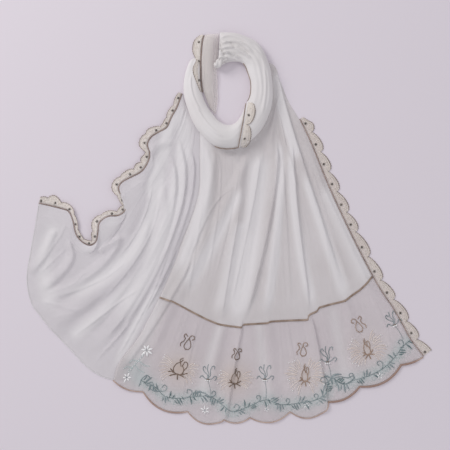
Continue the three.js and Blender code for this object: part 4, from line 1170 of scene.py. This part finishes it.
# Left edge of the under end
left_line = resample(under_grid[:, 0], 2.0)[0]
left_line[:, 2] = np.maximum(left_line[:, 2], CORD_RADIUS)
under_cord = piping("under_piping", left_line)
left_place, left_total = lace_beside(
    ruffle_edge(np.linspace(0, 1, 400)),
    lambda along, line: line[:, 3] * scallop(along / GATHERED_PITCH, GATHERED_CUSP_SHARE),
    lambda z, share, plan: np.maximum(z + CLOTH_REST - 0.2, 0.5),
    8,
)
left_cusps = np.arange(0, left_total + GATHERED_PITCH, GATHERED_PITCH)
under_lace = lace_run("under_lace", left_place, left_total, left_cusps, pale_net)

# Narrow rolled hem of the under end, and the satin edge of the scallops
hem_roll_line = resample(under_grid[-1], 3.0)[0]
hem_roll_line[:, 2] = np.maximum(hem_roll_line[:, 2], HEM_ROLL_RADIUS)
under_hem_roll = cord_piece("under_rolled_hem", hem_roll_line, HEM_ROLL_RADIUS, hem_chiffon, 6)


def hem_weight(x):
    """How much thicker and darker the satin edge is along the hem, where it turns up to the eye."""
    weight = np.zeros(x.shape)
    for first, last, most in HEM_STRETCHES:
        weight = weight + most * ease((x - first) / HEM_FADE) * ease((last - x) / HEM_FADE)
    return weight


hem_line = resample(border_grid[-1], 1.6)[0]
hem_radius = HEM_RADIUS + HEM_GROWTH * hem_weight(hem_line[:, 0])
hem_line[:, 2] = np.maximum(hem_line[:, 2], hem_radius)
hem_cord = cord_piece("hem_satin_edge", beside(hem_line, 0.8, 1), hem_radius, hem_gold)

# Braid over the seam
seam_front = grid_of(front_cells, (BRAID_COLUMNS, 5), first=0.996, last=1.0)
seam_border = grid_of(border_cells, (BRAID_COLUMNS, 5), first=0.0, last=0.011)
braid_points = np.concatenate([seam_front[[0, 2, 4]], seam_border[[1, 2, 4]]])
braid_points[..., 2] += BRAID_LIFT + BRAID_RIDGE * np.sin(np.arange(BRAID_COLUMNS) * BRAID_TURN)
braid = sheet_piece("border_braid_satin", braid_points, gold)

# Trim of the neck ring: sections and angle of its piping
SPLIT_PIPING_ROW = WRAP_SPLIT - 0.12
BOTTOM_PIPING_ROW = WRAP_SPLIT - 0.5
INNER_PIPING_ROWS = (WRAP_SPLIT + 0.2, 15.4)
INNER_PIPING_ANGLE = math.pi * 0.9
on_ring = drop_onto([wrap_front, wrap_back])


def off_ring(row, angle, out):
    """Points above the ring's skin, along a row or round it."""
    row, angle = np.broadcast_arrays(row, angle)
    step = 0.02
    along = wrap_skin(row + step, angle) - wrap_skin(row - step, angle)
    around = wrap_skin(row, angle + step) - wrap_skin(row, angle - step)
    normal = unit(np.cross(along, around))
    return wrap_skin(row, angle) + normal * np.where(normal[..., 2:] < 0, -1, 1) * out


split_line = off_ring(SPLIT_PIPING_ROW, np.linspace(INNER_ANGLE, OUTER_ANGLE, 40), 1.5)
bottom_line = off_ring(np.arange(BOTTOM_PIPING_ROW, BOTTOM_CORD_ROW - 0.01, -0.125), OUTER_ANGLE, 1.4)
ring_cord = cord_piece("ring_piping", np.concatenate([split_line, bottom_line]), PIPING_RADIUS, gold)
inner_line = off_ring(np.linspace(*INNER_PIPING_ROWS, 50), INNER_PIPING_ANGLE, 0.7)
inner_cord = cord_piece("ring_inner_piping", inner_line, 0.8, gold)
ring_place, ring_total = lace_beside(
    off_ring(WRAP_SPLIT, np.linspace(OUTER_ANGLE, INNER_ANGLE, 60), 0.0),
    lambda along, line: WRAP_LACE_DEPTH * scallop(2 * along / along[-1], LACE_CUSP_SHARE),
    lambda z, share, plan: on_ring(plan, 6.0) + 0.6,
    4,
    CORD_RADIUS + SEAM_GAP + REST_GAP,
    1.0,
)
ring_lace = lace_run("ring_lace", ring_place, ring_total, np.linspace(0, ring_total, 3), pale_net)

# Trim of the band
lace_rows, lace_depths = np.array(BAND_LACE, float).T
band_edge = band_track(lace_rows)
band_edge_height = np.maximum(band_edge[:, 4] * WRAP_CENTRE_SHARE, CORD_RADIUS)
band_line = edge_through(np.stack([*band_edge[:, 2:4].T, band_edge_height, lace_depths], axis=1))
band_smooth = band_line(np.linspace(0, 1, 80))
band_cord = piping("band_piping", resample(band_smooth, 1.5)[0][:, :3], 2)


def band_lace_height(z, share, plan):
    ring_height = on_ring(plan, -1.0)
    return np.where(ring_height > 0, ring_height + 0.6, z * (1 - share) + 0.4)


band_place, band_total = lace_beside(band_smooth, lambda along, line: line[:, 3], band_lace_height, 3)
band_lace = lace_run("band_lace", band_place, band_total, np.linspace(0, band_total, 4), pale_net)

# Embroidery of the border

# Least and greatest length, width and place of what is laid at random: rays from the sunburst's middle, and
# sprigs and filling stitches along the vine
RAY_TURN = 0.17
RAY_NEAR = (16, 23)
RAY_FAR = (29, 39)
RAY_WIDE = (0.6, 1.1)
RAY_BEADS = 0.45
SPRIG_GAP = (9.0, 18.0)
SPRIG_LEAN = (0.1, 0.9)
SPRIG_SIZE = (0.7, 1.05)
VINE_SAMPLES = 300
FILLING_STITCHES = 1100
FILLING_DROP = -2.0
FILLING_SPREAD = 6.5
STITCH_HEIGHT = 0.55
on_border = drop_onto([border])


class Stitching(Pile):
    """Stitches of one thread, laid along lines on the border."""

    def __init__(self, seed):
        super().__init__()
        self.random = np.random.default_rng(seed)

    def line(self, points, wide=1.0, stitch=4.2, step=2.6, smooth=True):
        points = np.asarray(points, float)
        if smooth and len(points) > 2:
            points = edge_through(points)(np.linspace(0, 1, 40))
        line = resample(points[:, :2], step)[0]
        for spot, way in zip(line, unit(np.gradient(line, axis=0))):
            tilt = self.random.uniform(-0.2, 0.2)
            way = np.array([way[0] - tilt * way[1], way[1] + tilt * way[0]])
            self.stitch(spot, way, stitch, wide, STITCH_HEIGHT)

    def stitch(self, spot, way, long, wide, height):
        ends = spot + way * long * np.array([[-0.5], [0.0], [0.5]])
        z = on_border(ends, BORDER_LOW) + height * np.array([0.1, 1.0, 0.1]) * 0.6
        self.add(*tube(raised(ends, z), [wide * 0.35, wide, wide * 0.35], 5, 0.6))

    def blade(self, points, wide):
        """One raised leaf or petal, widest at its middle."""
        line = edge_through(points)(np.linspace(0, 1, 8))
        points = raised(line, on_border(line, BORDER_LOW) + 0.4)
        self.add(*tube(points, wide * np.sin(np.pi * np.linspace(0.06, 0.97, 8)), 6, 0.4))

    def bead(self, spot, radius):
        z = on_border([spot], BORDER_LOW)[0]
        self.add(*ball(np.array([*spot, z + radius * 0.5]), radius, 0.8, 7))


brown = Stitching(1)
cream = Stitching(2)
teal = Stitching(3)
mist = Stitching(4)
slate = Stitching(5)
beads = Stitching(6)
tan = Stitching(8)


def placed(points, centre, up, size=1.0, flip=1.0):
    """Motif points turned so that their own y runs along up, and moved to centre."""
    up = unit(np.asarray(up, float))
    right = np.array([up[1], -up[0]])
    points = np.asarray(points, float) * size
    return np.asarray(centre, float) + points[:, :1] * flip * right + points[:, 1:2] * up


def heading(angle):
    return np.array([math.cos(angle), math.sin(angle)])


# Lines of the motifs, from a foot or a middle at 0, 0
BUD = [
    [(-1, 13), (-8, 7), (-11, -2), (-7, -10), (0, -12), (7, -9), (9, -1), (5, 7)],
    [(5, 7), (8, 15), (13, 14), (14, 6), (10, -1), (9, -7)],
    [(-1, 13), (-2, 17), (2, 21)],
    [(2, 6), (0, 12), (3, 17)],
]
BUD_LEAVES = [
    [(0, -12), (-8, -10), (-15, -5)],
    [(-2, -12), (-9, -14), (-14, -17)],
    [(0, -12), (0, -16), (1, -20)],
    [(2, -12), (9, -13), (15, -15)],
    [(4, -11), (11, -9), (16, -6)],
    [(-5, -11), (-13, -9), (-18, -10)],
]
CURL = [
    [(-2, -14), (4, -13), (7, -7), (5, 1), (1, 8), (4, 14), (9, 14), (11, 9), (8, 7)],
    [(-2, -14), (-6, -9), (-4, -1), (0, 7)],
    [(-4, 12), (-8, 15), (-10, 11), (-7, 6), (-9, 0), (-13, -4), (-13, -9)],
]
TULIP = [
    [(0, 0), (-2, 8), (-9, 14), (-13, 22), (-10, 27), (-7, 23)],
    [(-1, 1), (1, 10), (-3, 20), (-2, 30)],
    [(0, 0), (5, 8), (4, 18), (8, 28), (13, 29), (13, 24)],
    [(1, -2), (9, 0), (15, 6), (20, 3), (17, -2)],
    [(-1, -2), (-8, 0), (-14, 5), (-18, 1)],
]


def sunburst(centre, up, size, narrow, first, last, used):
    """A bud on a fan of leaves, with rays to both sides of it from the first to the last turn."""
    squeeze = np.array([narrow, 1.0])
    for line in BUD:
        used.line(placed(np.array(line) * squeeze, centre, up, size), 1.0)
    for line in BUD_LEAVES:
        used.line(placed(np.array(line) * squeeze, centre, up, size), 1.3, 5.0, 3.0)
    turns = np.arange(first, last, RAY_TURN)
    for turn in np.concatenate([-turns, turns]):
        turn = turn + cream.random.uniform(-0.05, 0.05)
        way = np.array([math.sin(turn), math.cos(turn)])
        near = cream.random.uniform(*RAY_NEAR)
        far = cream.random.uniform(*RAY_FAR)
        bend = way * (near + far) / 2 + np.array([0, 1.6])
        cream.line(placed([way * near, bend, way * far], centre, up, size), cream.random.uniform(*RAY_WIDE))
        if cream.random.uniform() < RAY_BEADS:
            beads.bead(placed([way * (far + 2)], centre, up, size)[0], 1.3)


def curl(centre, up, size, flip, used):
    for line in CURL:
        used.line(placed(line, centre, up, size, flip), 1.0)


def tulip(centre, up, size, stem):
    for line in TULIP:
        slate.line(placed(line, centre, up, size), 0.9)
    brown.line(placed([(-2, -2), (2, -2)], centre, up, size), 1.6, 3.0, 1.5, smooth=False)
    for side in (-4.0, 0.0, 4.0):
        beads.bead(placed([(side, -5)], centre, up, size)[0], 1.7)
    foot = placed([(0, -4)], centre, up, size)[0]
    slate.line([foot, mix(foot, np.asarray(stem, float), 0.5) + (1.5, 0), stem], 0.6, 3.4, 3.2)


def flower(centre, size, count, turn):
    centre = np.asarray(centre, float)
    for n in range(count):
        way = heading(turn + 2 * math.pi * n / count)
        long = size * beads.random.uniform(0.7, 1.15)
        beads.blade([centre + way * size * 0.15, centre + way * long * 0.6, centre + way * long], size * 0.17)
    slate.stitch(centre, heading(0.0), 2.6, 1.2, 2.0)


# Place, up, size, narrowing, first and last turn of the rays, and thread
SUNBURSTS = [
    ((-98, -273), (12, 50), 1.0, 1.0, 1.0, 2.4, brown),
    ((11, -292), (3, 43), 0.9, 0.7, 1.1, 2.3, brown),
    ((147, -286), (-3, 49), 1.0, 0.55, 0.35, 2.9, tan),
    ((268, -235), (-17, 47), 0.95, 0.6, 0.6, 2.7, tan),
]
# Place, up, size, flip and thread
CURLS = [
    ((-81, -222), (12, 50), 1.0, 1, brown),
    ((15, -245), (3, 43), 0.75, 1, brown),
    ((143, -236), (-3, 49), 0.9, 1, tan),
    ((251, -188), (-17, 47), 1.0, -1, tan),
]
# Place, up, size and foot of the stem
TULIPS = [
    ((-42, -292), (1, 12), 0.85, (-36, -328)),
    ((69, -292), (0, 12), 0.85, (71, -333)),
    ((191, -258), (-1, 12), 0.9, (198, -292)),
    ((321, -186), (-5, 12), 0.8, (338, -215)),
]
for motif, rows in ((sunburst, SUNBURSTS), (curl, CURLS), (tulip, TULIPS)):
    for row in rows:
        motif(*row)

VINE = [
    (-172, -296), (-145, -309), (-126, -327), (-97, -331), (-62, -327), (-36, -328), (-12, -345),
    (6, -357), (32, -349), (71, -334), (100, -343), (137, -340), (168, -334), (186, -322), (198, -292),
    (222, -303), (240, -296), (274, -286), (300, -272), (322, -251), (336, -232), (350, -219),
]
vine_line = edge_through(VINE)(np.linspace(0, 1, VINE_SAMPLES))
teal.line(vine_line, 0.7, 4.6, 2.8, smooth=False)
vine_even, vine_at = resample(vine_line, 1.0)
vine_way = unit(np.gradient(vine_even, axis=0))
SCROLL = [(0, 0), (5, 5), (7, 12), (3, 17), (-3, 15), (-2, 10)]
# Sprigs of the vine: for each leaf its foot along the vine, turn in radians, length and half width
SPRIGS = [
    ((-5, -0.3, 12, 1.3), (0, 0.0, 17, 1.6), (5, 0.3, 13, 1.3)),
    ((-3, -0.2, 15, 1.5), (4, 0.2, 11, 1.2)),
    ((-7, 0.3, 10, 1.2), (-2, 0.1, 15, 1.4), (3, 0.0, 14, 1.3), (8, 0.2, 9, 1.1)),
]
leaf_random = np.random.default_rng(7)
spot_at = 8.0
turn_side = 1.0
kind = 0
while spot_at < vine_at[-1] - 6:
    spot = vine_even[int(spot_at)]
    way = vine_way[int(spot_at)]
    out = np.array([-way[1], way[0]]) * turn_side
    lean_way = out + way * leaf_random.uniform(*SPRIG_LEAN)
    size = leaf_random.uniform(*SPRIG_SIZE)
    if kind % 4 == 2:
        slate.line(placed(SCROLL, spot, lean_way, size, turn_side), 0.9)
    else:
        used = slate if kind % 3 == 0 else teal
        for foot, angle, long, wide in SPRIGS[kind % 3]:
            tip = (foot + math.sin(angle) * long, math.cos(angle) * long)
            bend = (foot + math.sin(angle) * long * 0.3, long * 0.55)
            used.blade(placed([(foot, 0), bend, tip], spot, lean_way, size, turn_side), wide)
    spot_at += leaf_random.uniform(*SPRIG_GAP)
    turn_side = -turn_side
    kind += 1

# Soft filling stitches about the vine
for n in range(FILLING_STITCHES):
    index = int(leaf_random.uniform(0, len(vine_even) - 1))
    way = vine_way[index]
    off = leaf_random.normal(FILLING_DROP, FILLING_SPREAD)
    spot = vine_even[index] + np.array([-way[1], way[0]]) * off
    mist.stitch(spot, heading(leaf_random.uniform(0, math.pi)), 3.0, 0.5, 0.4)

# Flowers: place, size, petals and turn
FLOWERS = [
    ((-161, -237), 13, 7, 0.3),
    ((-200, -290), 11, 6, 0.0),
    ((-48, -354), 9, 6, 0.6),
    ((72, -352), 6, 5, 0.0),
    ((150, -345), 6, 5, 0.0),
    ((293, -287), 7, 5, 0.4),
]
for row in FLOWERS:
    flower(*row)
BEADED_STEM = np.array([(-161.0, -237.0), (-204.0, -287.0)])
for part in np.linspace(0.15, 0.85, 9):
    beads.bead(mix(*BEADED_STEM, part) + (2, 1), 1.1)
SPRAY = [
    [(-168, -247), (-182, -262), (-196, -279)],
    [(-176, -258), (-166, -266), (-158, -268)],
    [(-184, -266), (-176, -276), (-168, -280)],
    [(-178, -258), (-188, -256), (-194, -260)],
    [(-190, -272), (-199, -269), (-205, -272)],
]
for line in SPRAY:
    mist.line(line, 0.9)
VINE_CURLS = [
    [(-176, -306), (-170, -292), (-161, -286), (-155, -291), (-160, -297)],
    [(-166, -300), (-160, -306), (-152, -306)],
    [(198, -293), (215, -289), (232, -291), (240, -287), (244, -291), (239, -294)],
    [(198, -295), (186, -304), (181, -325)],
    [(206, -298), (224, -303), (239, -299)],
    [(-71, -330), (-62, -320), (-48, -321), (-36, -330)],
]
for line in VINE_CURLS:
    slate.line(line, 1.0)
# Longer leaves beside the vine, with their half width
LONG_LEAVES = [
    ([(196, -291), (206, -285), (219, -284)], 2.0),
    ([(197, -292), (190, -288), (182, -290)], 1.7),
    ([(206, -298), (212, -308), (213, -319)], 1.4),
    ([(-150, -300), (-147, -310), (-140, -318)], 1.5),
    ([(-143, -301), (-141, -310), (-137, -316)], 1.4),
    ([(-156, -312), (-147, -316), (-137, -318)], 1.5),
    ([(-66, -323), (-58, -317), (-51, -321)], 1.3),
]
for line, wide in LONG_LEAVES:
    slate.blade(line, wide)

embroidery = [
    brown.piece("brown_stitches", brown_thread),
    tan.piece("tan_stitches", tan_thread),
    cream.piece("cream_stitches", cream_thread),
    teal.piece("teal_stitches", teal_thread),
    mist.piece("mist_stitches", mist_thread),
    slate.piece("slate_stitches", slate_thread),
    beads.piece("white_beads", bead_white),
]

# Faint dye of the border, warm about the sunbursts and teal along the vine: place, reach, strength and colour
STAINS = [
    *[(row[0], 34.0, 0.55, (0.83, 0.73, 0.67)) for row in SUNBURSTS[:2]],
    *[(row[0], 34.0, 0.35, (0.85, 0.76, 0.71)) for row in SUNBURSTS[2:]],
    *[(row[0], 15.0, 0.55, (0.64, 0.51, 0.43)) for row in SUNBURSTS[:2]],
    *[(row[0], 11.0, 0.3, (0.68, 0.56, 0.48)) for row in SUNBURSTS[2:]],
    ((-182, -278), 24.0, 0.5, (0.66, 0.75, 0.75)),
]
VINE_REACH = 15.0
VINE_STRENGTH = 0.55
VINE_SHADE = (0.64, 0.735, 0.735)
DOUBLED = (0.93, 0.905, 0.915)
DOUBLED_MOST = 0.85
# Colour of the painted shade on the ring
PAINTED_SHADE = (0.66, 0.635, 0.62)
BAND_SHADE = (0.91, 0.865, 0.84)
BAND_SHADE_X = -24
BAND_SHADE_FADE = 22
HEM_SHADE = (0.34, 0.215, 0.17)
# Painted shade where shadow falls among the ring's gathers and at its lower side, in the same columns
RING_PAINTED_SHADES = [
    ((14, 352), 32.0, 0.5, PAINTED_SHADE),
    ((-17, 358), 13.0, 0.45, PAINTED_SHADE),
    ((-14, 322), 16.0, 0.4, PAINTED_SHADE),
    ((-8, 170), 24.0, 0.35, PAINTED_SHADE),
    ((62, 330), 20.0, 0.25, PAINTED_SHADE),
]


def plan_of(piece):
    """Drawing points of a piece's mesh, in plan."""
    flat = np.empty(len(piece.data.vertices) * 3)
    piece.data.vertices.foreach_get("co", flat)
    return to_drawing(flat.reshape(-1, 3))[:, :2]


def paint(piece, layers):
    """Lays colours over each other as a piece's tint and painted shade. Each layer is its strength at the
    points and its colour."""
    colour = np.ones((len(piece.data.vertices), 3))
    clear = np.ones(len(colour))
    for weight, shade in layers:
        cover = weight / np.maximum(weight + (1 - clear) * (1 - weight), 1e-6)
        colour = mix(colour, np.array(shade), cover[:, None])
        clear = clear * (1 - weight)
    tint_and_painted_shade = piece.data.color_attributes.new("tint_and_painted_shade", "FLOAT_COLOR", "POINT")
    tint_and_painted_shade.data.foreach_set("color", raised(colour, 1 - clear).ravel())


def spot_weight(gap, reach, strength):
    return strength * np.exp(-((gap / reach) ** 2))


def spots(points, rows):
    """Layers of round soft spots over plan points."""
    return [
        (spot_weight(between(points, np.array(place)), reach, strength), shade)
        for place, reach, strength, shade in rows
    ]


def doubled(points, table):
    return np.clip(1.3 * folds_at(table, points)[0], 0, DOUBLED_MOST), DOUBLED


paint(front, [doubled(plan_of(front), FRONT_DOUBLES)])
paint(under, [doubled(plan_of(under), UNDER_DOUBLES)])
border_plan = plan_of(border)
vine_gap = between(border_plan[:, None], vine_even[None, ::5]).min(axis=1)
vine_layer = (spot_weight(vine_gap, VINE_REACH, VINE_STRENGTH), VINE_SHADE)
paint(border, [doubled(border_plan, FRONT_DOUBLES), vine_layer, *spots(border_plan, STAINS)])
# Painted shade on the ring's cloth and its twist
for piece in (wrap_front, wrap_back, twist):
    paint(piece, spots(plan_of(piece), RING_PAINTED_SHADES))

# The band is sheerer towards its right side, and the hem's satin is darker where it is thicker
band_weight = 0.98 * ease((BAND_SHADE_X - plan_of(band)[:, 0]) / BAND_SHADE_FADE)
paint(band, [(band_weight, BAND_SHADE)])
paint(hem_cord, [(np.clip(hem_weight(plan_of(hem_cord)[:, 0]), 0, 0.9), HEM_SHADE)])

# Each piece hides the solid that it stands for. The pieces' slots are listed, and nothing is done with them

for piece, node in (
    (front, "front_panel"),
    (under, "under_panel"),
    (border, "hem_border"),
    (wrap_front, "wrap_front"),
    (wrap_back, "wrap_back"),
    (band, "shoulder_band"),
    (braid, "border_braid"),
    (hem_cord, "hem_cord"),
    (front_cord, "front_lace_cord"),
    (under_cord, "under_lace_cord"),
    (ring_cord, "wrap_lace_cord"),
    (band_cord, "band_lace_cord"),
    (front_lace[0], "front_lace"),
    (under_lace[0], "under_lace"),
    (ring_lace[0], "wrap_lace"),
    (band_lace[0], "band_lace"),
):
    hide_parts(node)
for slot, pieces in (
    ("chiffon", (front, under, wrap_front, wrap_back, twist, band, under_hem_roll)),
    ("organza", (border,)),
    ("lace", (*front_lace, *under_lace, *ring_lace, *band_lace, *embroidery)),
    ("gold_trim", (braid, hem_cord, front_cord, under_cord, ring_cord, inner_cord, band_cord)),
):
    for piece in pieces:
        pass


def flat_cut(points, closed):
    """Width and length in metres of a rectangle with the cloth's own area."""
    points = points * 0.001
    long = lengths(points[:, points.shape[1] // 2], 3)[-1]
    if closed:
        points = np.concatenate([points, points[:, :1]], axis=1)
    a = points[1:, :-1] - points[:-1, :-1]
    b = points[:-1, 1:] - points[:-1, :-1]
    c = points[1:, :-1] - points[1:, 1:]
    d = points[:-1, 1:] - points[1:, 1:]
    area = 0.5 * sum(np.linalg.norm(np.cross(p, q), axis=2).sum() for p, q in ((a, b), (c, d)))
    return round(area / long, 3), round(long, 3)


for piece, points, closed, held, rests, trims in (
    (front, front_grid, False, "laid", ["under_panel"], [front_cord, *front_lace, braid]),
    (under, under_grid, False, "laid", ["floor"], [under_cord, *under_lace, under_hem_roll]),
    (border, border_grid, False, "laid", ["under_panel"], [hem_cord, *embroidery]),
    (wrap_front, front_wrap_grid, True, "gathered", ["under_panel"], []),
    (wrap_back, back_wrap_grid, True, "gathered", ["wrap_front"], [twist, ring_cord, inner_cord, *ring_lace]),
    (band, band_grid, True, "gathered", ["floor"], [band_cord, *band_lace]),
):
    flat_cut(points, closed)
    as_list(rests)
    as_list(trims)

# Surface, light and camera

floor_mesh = bpy.data.meshes.new("floor")
floor_corners = [(x * FLOOR_HALF, y * FLOOR_HALF, 0) for x, y in ((-1, -1), (1, -1), (1, 1), (-1, 1))]
floor_mesh.from_pydata(floor_corners, [], [(0, 1, 2, 3)])
floor_mesh.materials.append(principled("floor_paper", (0.82, 0.765, 0.82), 0.95, 1.0, 0.0, 0.1))
floor = new_object("floor", floor_mesh)

# Square lamps that look at the middle: name, place, width, power in watts and colour
LAMPS = [
    ("key", (-1.9, 1.7, 1.7), 1.3, 33.0, (1.0, 0.98, 0.97)),
    ("fill", (1.2, -1.4, 2.2), 2.5, 6.0, (0.97, 0.97, 1.0)),
]
for name, place, wide, power, colour in LAMPS:
    data = bpy.data.lights.new(name, "AREA")
    data.shape = "SQUARE"
    data.size = wide
    data.energy = power
    data.color = colour
    lamp = new_object(name, data)
    lamp.location = place
    lamp.rotation_mode = "QUATERNION"
    lamp.rotation_quaternion = (-Vector(place)).to_track_quat("-Z", "Y")
world = bpy.data.worlds.new("room")
world.use_nodes = True
background = world.node_tree.nodes["Background"]
background.inputs["Color"].default_value = (0.95, 0.94, 0.98, 1.0)
background.inputs["Strength"].default_value = 0.57
bpy.context.scene.world = world
bpy.context.scene.view_settings.view_transform = "Standard"

camera_data = bpy.data.cameras.new("camera")
camera_data.lens = CAMERA_LENS
camera_data.sensor_width = CAMERA_SENSOR
camera = new_object("camera", camera_data)
camera.location = (*CAMERA_AIM, CAMERA_HEIGHT)
bpy.context.scene.camera = camera
